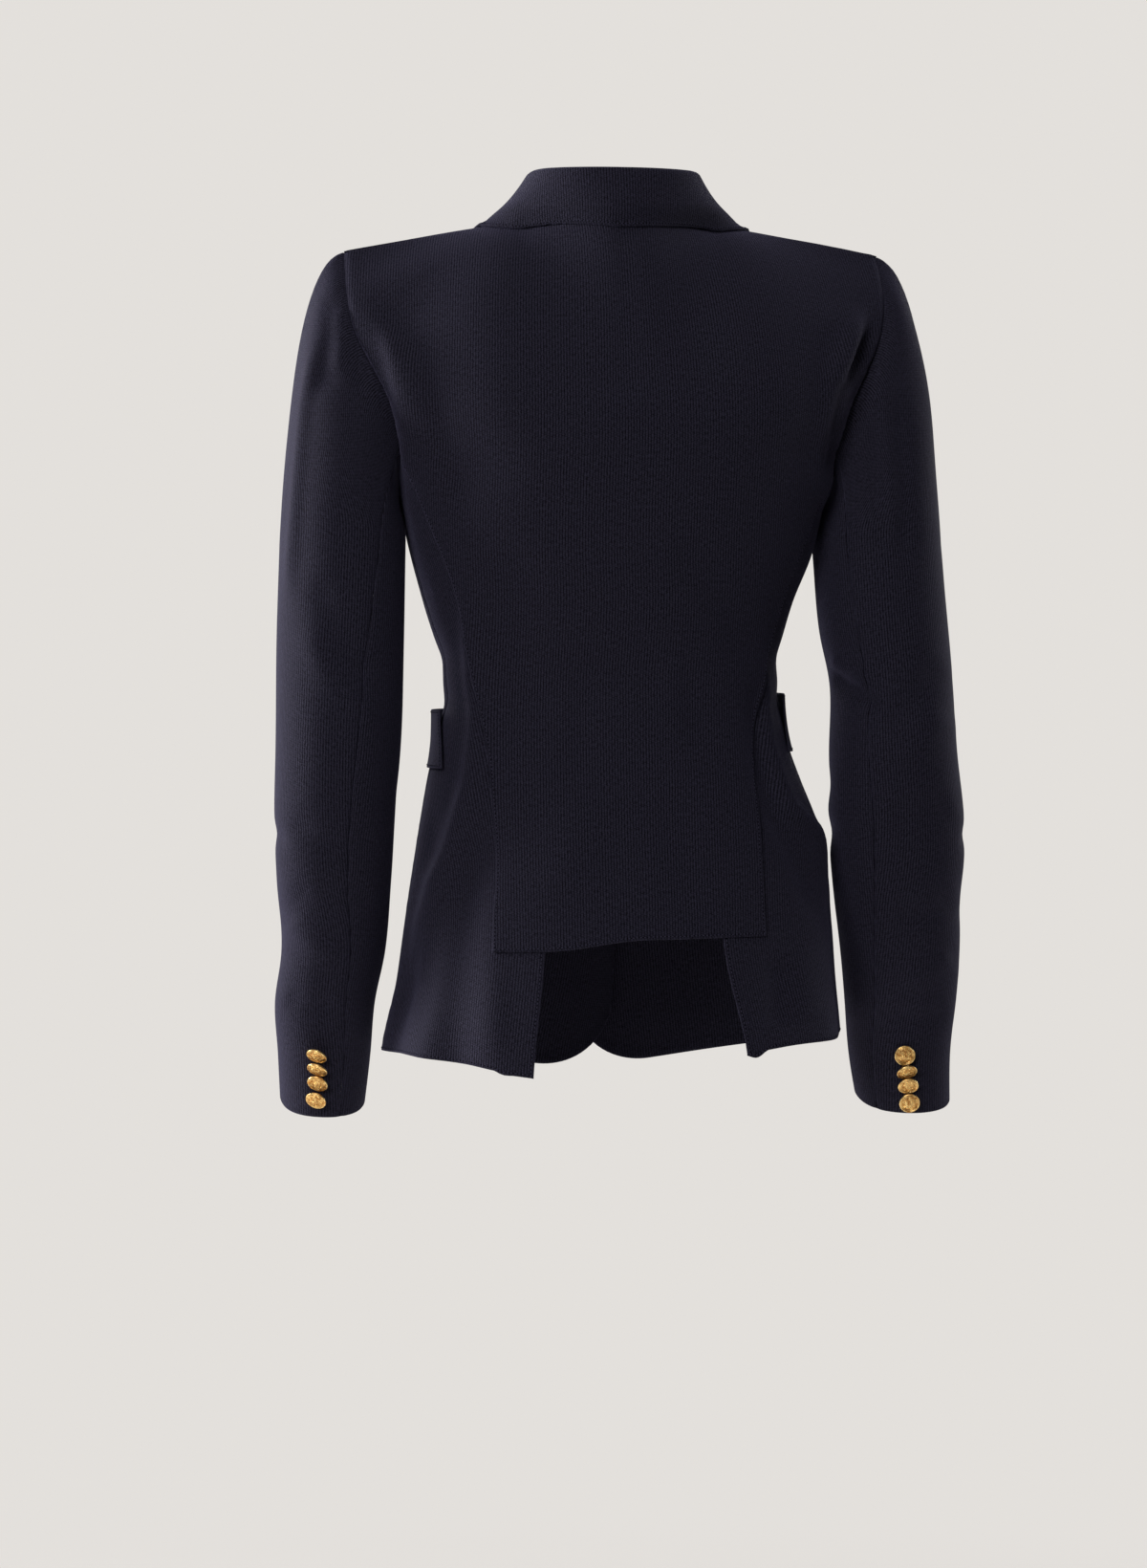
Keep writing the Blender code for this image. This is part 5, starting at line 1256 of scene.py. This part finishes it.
def model_button(context):
    """A button, one in radius: double rim, rosette in a wreath of leaves and shank, facing up."""
    looks = context.scene.blazer_buttons
    parts = []

    def keep(place=(0, 0, 0), turn=(0, 0, 0), scale=(1, 1, 1)):
        part = context.view_layer.objects.active
        part.location, part.rotation_euler, part.scale = place, turn, scale
        parts.append(part)

    def on_dome(out):
        return looks.dome * (math.sqrt(max(0.0, DOME_RADIUS ** 2 - out ** 2)) - DOME_SINK)

    ready(context)
    bpy.ops.mesh.primitive_cylinder_add(vertices=64, radius=0.95, depth=0.12)
    keep((0, 0, -0.03))
    bpy.ops.mesh.primitive_uv_sphere_add(segments=48, ring_count=24, radius=DOME_RADIUS)
    keep((0, 0, -looks.dome * DOME_SINK), scale=(1, 1, looks.dome))
    for out, thick, high in ((0.915, 0.085, 0.030), (0.765, 0.042, 0.075)):
        bpy.ops.mesh.primitive_torus_add(major_segments=72, minor_segments=12,
                                         major_radius=out, minor_radius=thick)
        keep((0, 0, high))
    bpy.ops.mesh.primitive_cylinder_add(vertices=24, radius=0.20, depth=0.22)
    keep((0, 0, -0.18))
    petals = looks.petals
    # Raised shapes set evenly round the dome: number, place out from the middle, size, length, width
    # and height, skew and where the first one stands
    for count, out, size, long, wide, high, skew, start in (
            (petals, 0.20, 0.085, 1.55, 0.80, 1.00, 0.0, 0.0),
            (petals, 0.345, 0.045, 1.0, 1.0, 1.25, 0.0, 0.5),
            (petals * 2, 0.475, 0.070, 1.70, 0.62, 1.15, 0.75, 0.0),
            (petals * 2, 0.590, 0.066, 1.60, 0.62, 1.25, -0.75, 0.5),
            (petals * 3, 0.680, 0.030, 1.0, 1.0, 1.3, 0.0, 0.0)):
        slope = math.asin(min(0.9, out * looks.dome / DOME_RADIUS))
        for k in range(count):
            turn = 2 * math.pi * (k + start) / count
            bpy.ops.mesh.primitive_ico_sphere_add(subdivisions=2, radius=size)
            place = (out * math.cos(turn), out * math.sin(turn), on_dome(out))
            keep(place, (0, slope, turn + skew), (long, wide, high))
    bpy.ops.mesh.primitive_ico_sphere_add(subdivisions=3, radius=0.095)
    keep((0, 0, on_dome(0)))
    button = join_parts(context, parts, "button_model")
    button.data.materials.clear()
    button.data.materials.append(material_of("aged_gold", gold_surface, looks))
    return button


def button_place(node, towards):
    """A button's widest ring's centre, its facing (towards the back, 1, or front, -1) and radius."""
    corners = np.array([node.matrix_world @ v.co for v in node.data.vertices])
    middle = corners.mean(0)
    _, _, axes = np.linalg.svd(corners - middle)
    facing = axes[2]
    if facing[1] * towards < 0:
        facing = -facing
    flat = corners - middle
    flat = flat - (flat @ facing)[:, None] * facing
    far = np.linalg.norm(flat, axis=1)
    widest = corners[far > far.max() * 0.985]
    centre = widest.mean(0)
    return centre, facing, float(np.linalg.norm(widest - centre, axis=1).max())


Length = functools.partial(bpy.props.FloatProperty, unit="LENGTH")
Share = functools.partial(bpy.props.FloatProperty, subtype="FACTOR", min=0, max=1)
Number = functools.partial(bpy.props.FloatProperty, min=0)
Colour = functools.partial(bpy.props.FloatVectorProperty, subtype="COLOR", min=0, max=1)


class BlazerCloth(bpy.types.PropertyGroup):
    cell: Length(name="Cell", description="Size of the cloth mesh's cells", default=0.0036)
    wall: Length(name="Cloth", description="Thickness of the cloth", default=0.0013)
    hem_wall: Length(name="Hem", description="Thickness of a turned hem's edge", default=0.0021)
    seam_dip: Length(name="Seam dip", description="How far cloth sinks into a seam", default=0.0005)
    pucker: Length(name="Pucker", description="Height of ripples along stitched edges", default=0.00022)
    unevenness: Length(name="Unevenness", description="Height of the cloth's slow waves", default=0.0005)
    lapel_roll: Length(name="Lapel roll", description="Radius of a lapel's turn at the gorge", default=0.0028)
    collar_gap: Length(name="Collar gap", description="Clearance under the collar's edge", default=0.0008)
    rib_pitch: Length(name="Rib pitch", description="Distance between the weave's ribs", default=0.0021)
    pick_pitch: Length(name="Pick pitch", description="Length of the marks along a rib", default=0.0017)
    rib_depth: Length(name="Rib depth", description="Relief of the ribs", default=0.00022)
    rib_strength: Share(name="Rib strength", description="Share of the relief that shows", default=0.55)
    # Brightness of the painted shade in the rib valleys, as a share of the cloth's colour; the crests get the
    # matching painted light
    rib_valley_shade: Share(name="Valley", description="Brightness of the colour between ribs", default=0.20)
    sheen: Share(name="Sheen", description="Soft light on the nap at shallow angles", default=0.11)
    color: Colour(name="Colour", description="Colour of the cloth", default=(0.0142, 0.0134, 0.0226))


class BlazerSewing(bpy.types.PropertyGroup):
    stitch_pitch: Length(name="Pitch", description="From one stitch to the next", default=0.0029)
    stitch_length: Length(name="Length", description="Length of a stitch that shows", default=0.0016)
    hole_length: Length(name="Hole", description="Length of a dark hole between two stitches", default=0.0010)
    stitch_radius: Length(name="Thread", description="Radius of the thread", default=0.00038)
    # Painted highlight: the thread has the cloth's colour, drawn this many times brighter
    thread_painted_highlight: Number(name="Thread shade", description="Thread's brightness, of the cloth's", default=2.4)
    # Painted shade: the holes between stitches are dark marks at this share of the cloth's colour
    hole_painted_shade: Number(name="Hole shade", description="Holes' brightness, of the cloth's", default=0.1)
    inset: Length(name="Inset", description="From an edge to its row of stitches", default=0.0024)


class BlazerButtons(bpy.types.PropertyGroup):
    dome: Share(name="Dome", description="Height of the dome as a share of its radius", default=0.26)
    petals: bpy.props.IntProperty(name="Petals", description="Petals of a rosette", default=8, min=5, max=12)
    color: Colour(name="Gold", description="Colour of the metal", default=(0.98, 0.72, 0.31))
    shade: Colour(name="Patina", description="Colour of the aged patches", default=(0.60, 0.30, 0.08))


class BlazerStage(bpy.types.PropertyGroup):
    floor: Length(name="Floor", description="Height of the floor", default=-1.35)
    floor_radius: Length(name="Floor radius", description="Where the floor has faded away", default=2.2)
    lens: Number(name="Lens", description="Focal length in millimetres", default=95.27)
    key: Number(name="Key light", description="Power of the light on the wearer's left", default=150.0)
    back: Number(name="Back light", description="Power of the light behind the wearer", default=64.0)
    fill: Number(name="Top light", description="Power of the light from above", default=12.0)
    front: Number(name="Front light", description="Power of the lights in front", default=25.0)
    glow: Number(name="Glow", description="Light that the backdrop gives", default=0.10)
    backdrop: Colour(name="Backdrop", description="Colour round the garment", default=(0.77, 0.745, 0.715))


class BLAZER_OT_body(bpy.types.Operator):
    """Makes the back, the side panels and the fronts, with their rows of stitches"""
    bl_idname = "blazer.body"
    bl_label = "Body"

    def execute(self, context):
        inset = context.scene.blazer_sewing.inset
        sheets = body_of(context.scene.blazer_cloth)
        back = sheets["back"]
        add_cloth(context, back, "top")
        lines = [edge_run(back, side, inset, 0.0, BACK_SEAM_END) for side in ("left", "right")]
        lines.append(edge_run(back, "top", inset))
        for side in SIDES:
            panel, front = sheets["side_back_" + side], sheets["front_" + side]
            add_cloth(context, panel, "top")
            add_cloth(context, front, "top", "right")
            lines += [edge_run(panel, "top", inset), edge_run(panel, "left", inset, 0.0, UNDERLAP_END),
                      edge_run(front, "top", inset), edge_run(front, "right", inset, 0.0, FRONT_EDGE_END)]
        add_stitches(context, "body", lines)
        return {"FINISHED"}


class BLAZER_OT_sleeves(bpy.types.Operator):
    """Makes the top and under sleeves"""
    bl_idname = "blazer.sleeves"
    bl_label = "Sleeves"

    def execute(self, context):
        for side in SIDES:
            for sheet in sleeve_sheets(context.scene.blazer_cloth, side):
                add_cloth(context, sheet, "bottom")
        return {"FINISHED"}


class BLAZER_OT_collar(bpy.types.Operator):
    """Makes the collar and the lapels, with their rows of stitches"""
    bl_idname = "blazer.collar"
    bl_label = "Collar and lapels"

    def execute(self, context):
        looks, inset = context.scene.blazer_cloth, context.scene.blazer_sewing.inset
        body = body_of(looks)
        lines = []
        for side in SIDES:
            lapel = lapel_sheet(looks, side, body["front_" + side])
            add_cloth(context, lapel, "right", "bottom")
            lines += [edge_run(lapel, "right", inset), edge_run(lapel, "bottom", inset, LAPEL_STITCHED)]
        collar = collar_sheet(looks, [body["back"], body["front_left"], body["front_right"]])
        add_cloth(context, collar, "right")
        lines.append(edge_run(collar, "right", inset))
        add_stitches(context, "collar", lines)
        return {"FINISHED"}


class BLAZER_OT_pockets(bpy.types.Operator):
    """Makes the hip pocket welts"""
    bl_idname = "blazer.pockets"
    bl_label = "Pocket welts"

    def execute(self, context):
        looks, inset = context.scene.blazer_cloth, context.scene.blazer_sewing.inset
        body = body_of(looks)
        lines = []
        for side in SIDES:
            welt = welt_sheet(looks, side, [body["front_" + side], body["side_back_" + side]])
            add_cloth(context, welt, "bottom")
            lines += [edge_run(welt, border, inset) for border in ("top", "left", "right", "bottom")]
        add_stitches(context, "pockets", lines)
        return {"FINISHED"}


class BLAZER_OT_buttons(bpy.types.Operator):
    """Models one button and sets a copy of it in each button's place"""
    bl_idname = "blazer.buttons"
    bl_label = "Buttons"

    def execute(self, context):
        names = sorted(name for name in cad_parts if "button" in name)
        if not names:
            self.report({"ERROR"}, "The frame has no buttons")
            return {"CANCELLED"}
        model = model_button(context)
        for k, name in enumerate(names):
            on_cuff = name.startswith("cuff")
            centre, facing, radius = button_place(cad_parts[name], 1.0 if on_cuff else -1.0)
            if on_cuff:
                aside = np.array([math.cos(VIEW_TURN), -math.sin(VIEW_TURN), 0.0])
                facing = facing - 2 * (facing @ aside) * aside
            ready(context)
            model.select_set(True)
            context.view_layer.objects.active = model
            bpy.ops.object.duplicate()
            button = context.view_layer.objects.active
            button.name = "gold_" + name
            turn = Vector(facing).to_track_quat("Z", "Y").to_matrix().to_4x4()
            spin = Matrix.Rotation(math.radians(BUTTON_TURN * k), 4, "Z")
            button.matrix_world = Matrix.Translation(centre) @ turn @ spin @ Matrix.Scale(radius, 4)
            bpy.ops.object.transform_apply(location=True, rotation=True, scale=True)
            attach(button, "root")
            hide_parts(name)
        bpy.data.objects.remove(model, do_unlink=True)
        return {"FINISHED"}


class BLAZER_OT_stage(bpy.types.Operator):
    """Sets up the floor, the backdrop, the lights and the camera"""
    bl_idname = "blazer.stage"
    bl_label = "Studio"

    def execute(self, context):
        stage = context.scene.blazer_stage
        ready(context)
        bpy.ops.mesh.primitive_circle_add(vertices=96, radius=stage.floor_radius * 1.02, fill_type="NGON",
                                          location=(0, 0, stage.floor))
        floor = context.view_layer.objects.active
        floor.name = "floor"
        floor.data.materials.append(material_of("pale_floor", floor_surface, stage))
        world = bpy.data.worlds.new("studio")
        world.use_nodes = True
        tree = world.node_tree
        color = (*stage.backdrop, 1.0)
        shown = tree.nodes["Background"]
        set_inputs(tree, shown, {"Color": color})
        glow = chain(tree, "ShaderNodeBackground", inputs=(color, stage.glow))
        seen = chain(tree, "ShaderNodeLightPath").outputs["Is Camera Ray"]
        either = chain(tree, "ShaderNodeMixShader", inputs=(seen, glow.outputs[0], shown.outputs[0]))
        set_inputs(tree, tree.nodes["World Output"], {"Surface": either.outputs[0]})
        context.scene.world = world
        lamps = (
            ("rim_left", (2.3, -0.72, 0.05), 0.9, stage.key * 0.66),
            ("rim_right", (-2.8, -1.0, 0.1), 1.2, stage.key * 0.18),
            ("back", (1.7, 2.8, 0.9), 1.4, stage.back),
            ("top", (-0.2, 0.5, 2.2), 1.4, stage.fill),
            ("front_left", (1.5, -2.6, 0.9), 1.6, stage.front),
            ("front_right", (-1.9, -2.0, 0.3), 1.6, stage.front * 0.6),
        )
        for name, place, size, power in lamps:
            aim = (Vector(LAMP_TARGET) - Vector(place)).to_track_quat("-Z", "Y").to_euler()
            bpy.ops.object.light_add(type="AREA", location=place, rotation=aim)
            lamp = context.view_layer.objects.active
            lamp.name = "light_" + name
            lamp.data.size = size
            lamp.data.energy = power
            lamp.data.color = LAMP_COLOR
        place = (CAMERA_X, CAMERA_Y, VIEW_HEIGHT)
        bpy.ops.object.camera_add(location=place, rotation=(math.radians(90), 0, math.pi - VIEW_TURN))
        camera = context.view_layer.objects.active
        camera.data.sensor_width = 36.0
        camera.data.lens = stage.lens
        context.scene.camera = camera
        context.scene.view_settings.view_transform = "Standard"
        return {"FINISHED"}


class BLAZER_PT_panel(bpy.types.Panel):
    """The blazer's sizes and steps"""
    bl_idname = "BLAZER_PT_panel"
    bl_label = "Fitted Blazer"
    bl_space_type = "VIEW_3D"
    bl_region_type = "UI"
    bl_category = "Blazer"

    def draw(self, context):
        layout = self.layout
        for name, steps in STEPS.items():
            box = layout.box()
            group = getattr(context.scene, name)
            for prop in group.bl_rna.properties:
                if prop.identifier not in ("rna_type", "name"):
                    box.prop(group, prop.identifier)
            for step in steps:
                box.operator(step)


GROUPS = {"blazer_cloth": BlazerCloth, "blazer_sewing": BlazerSewing, "blazer_buttons": BlazerButtons,
          "blazer_stage": BlazerStage}
STEPS = {
    "blazer_cloth": ("blazer.body", "blazer.sleeves", "blazer.collar", "blazer.pockets"),
    "blazer_sewing": (),
    "blazer_buttons": ("blazer.buttons",),
    "blazer_stage": ("blazer.stage",),
}
OPERATORS = (BLAZER_OT_body, BLAZER_OT_sleeves, BLAZER_OT_collar, BLAZER_OT_pockets, BLAZER_OT_buttons,
             BLAZER_OT_stage)


def register():
    for kind in (*GROUPS.values(), *OPERATORS, BLAZER_PT_panel):
        bpy.utils.register_class(kind)
    for name, kind in GROUPS.items():
        setattr(bpy.types.Scene, name, bpy.props.PointerProperty(type=kind))


def unregister():
    for name in GROUPS:
        delattr(bpy.types.Scene, name)
    for kind in reversed((*GROUPS.values(), *OPERATORS, BLAZER_PT_panel)):
        bpy.utils.unregister_class(kind)


def main():
    register()
    for steps in STEPS.values():
        for step in steps:
            group, name = step.split(".")
            if getattr(getattr(bpy.ops, group), name)() != {"FINISHED"}:
                raise RuntimeError(f"{step} did not finish")


if __name__ == "__main__":
    main()
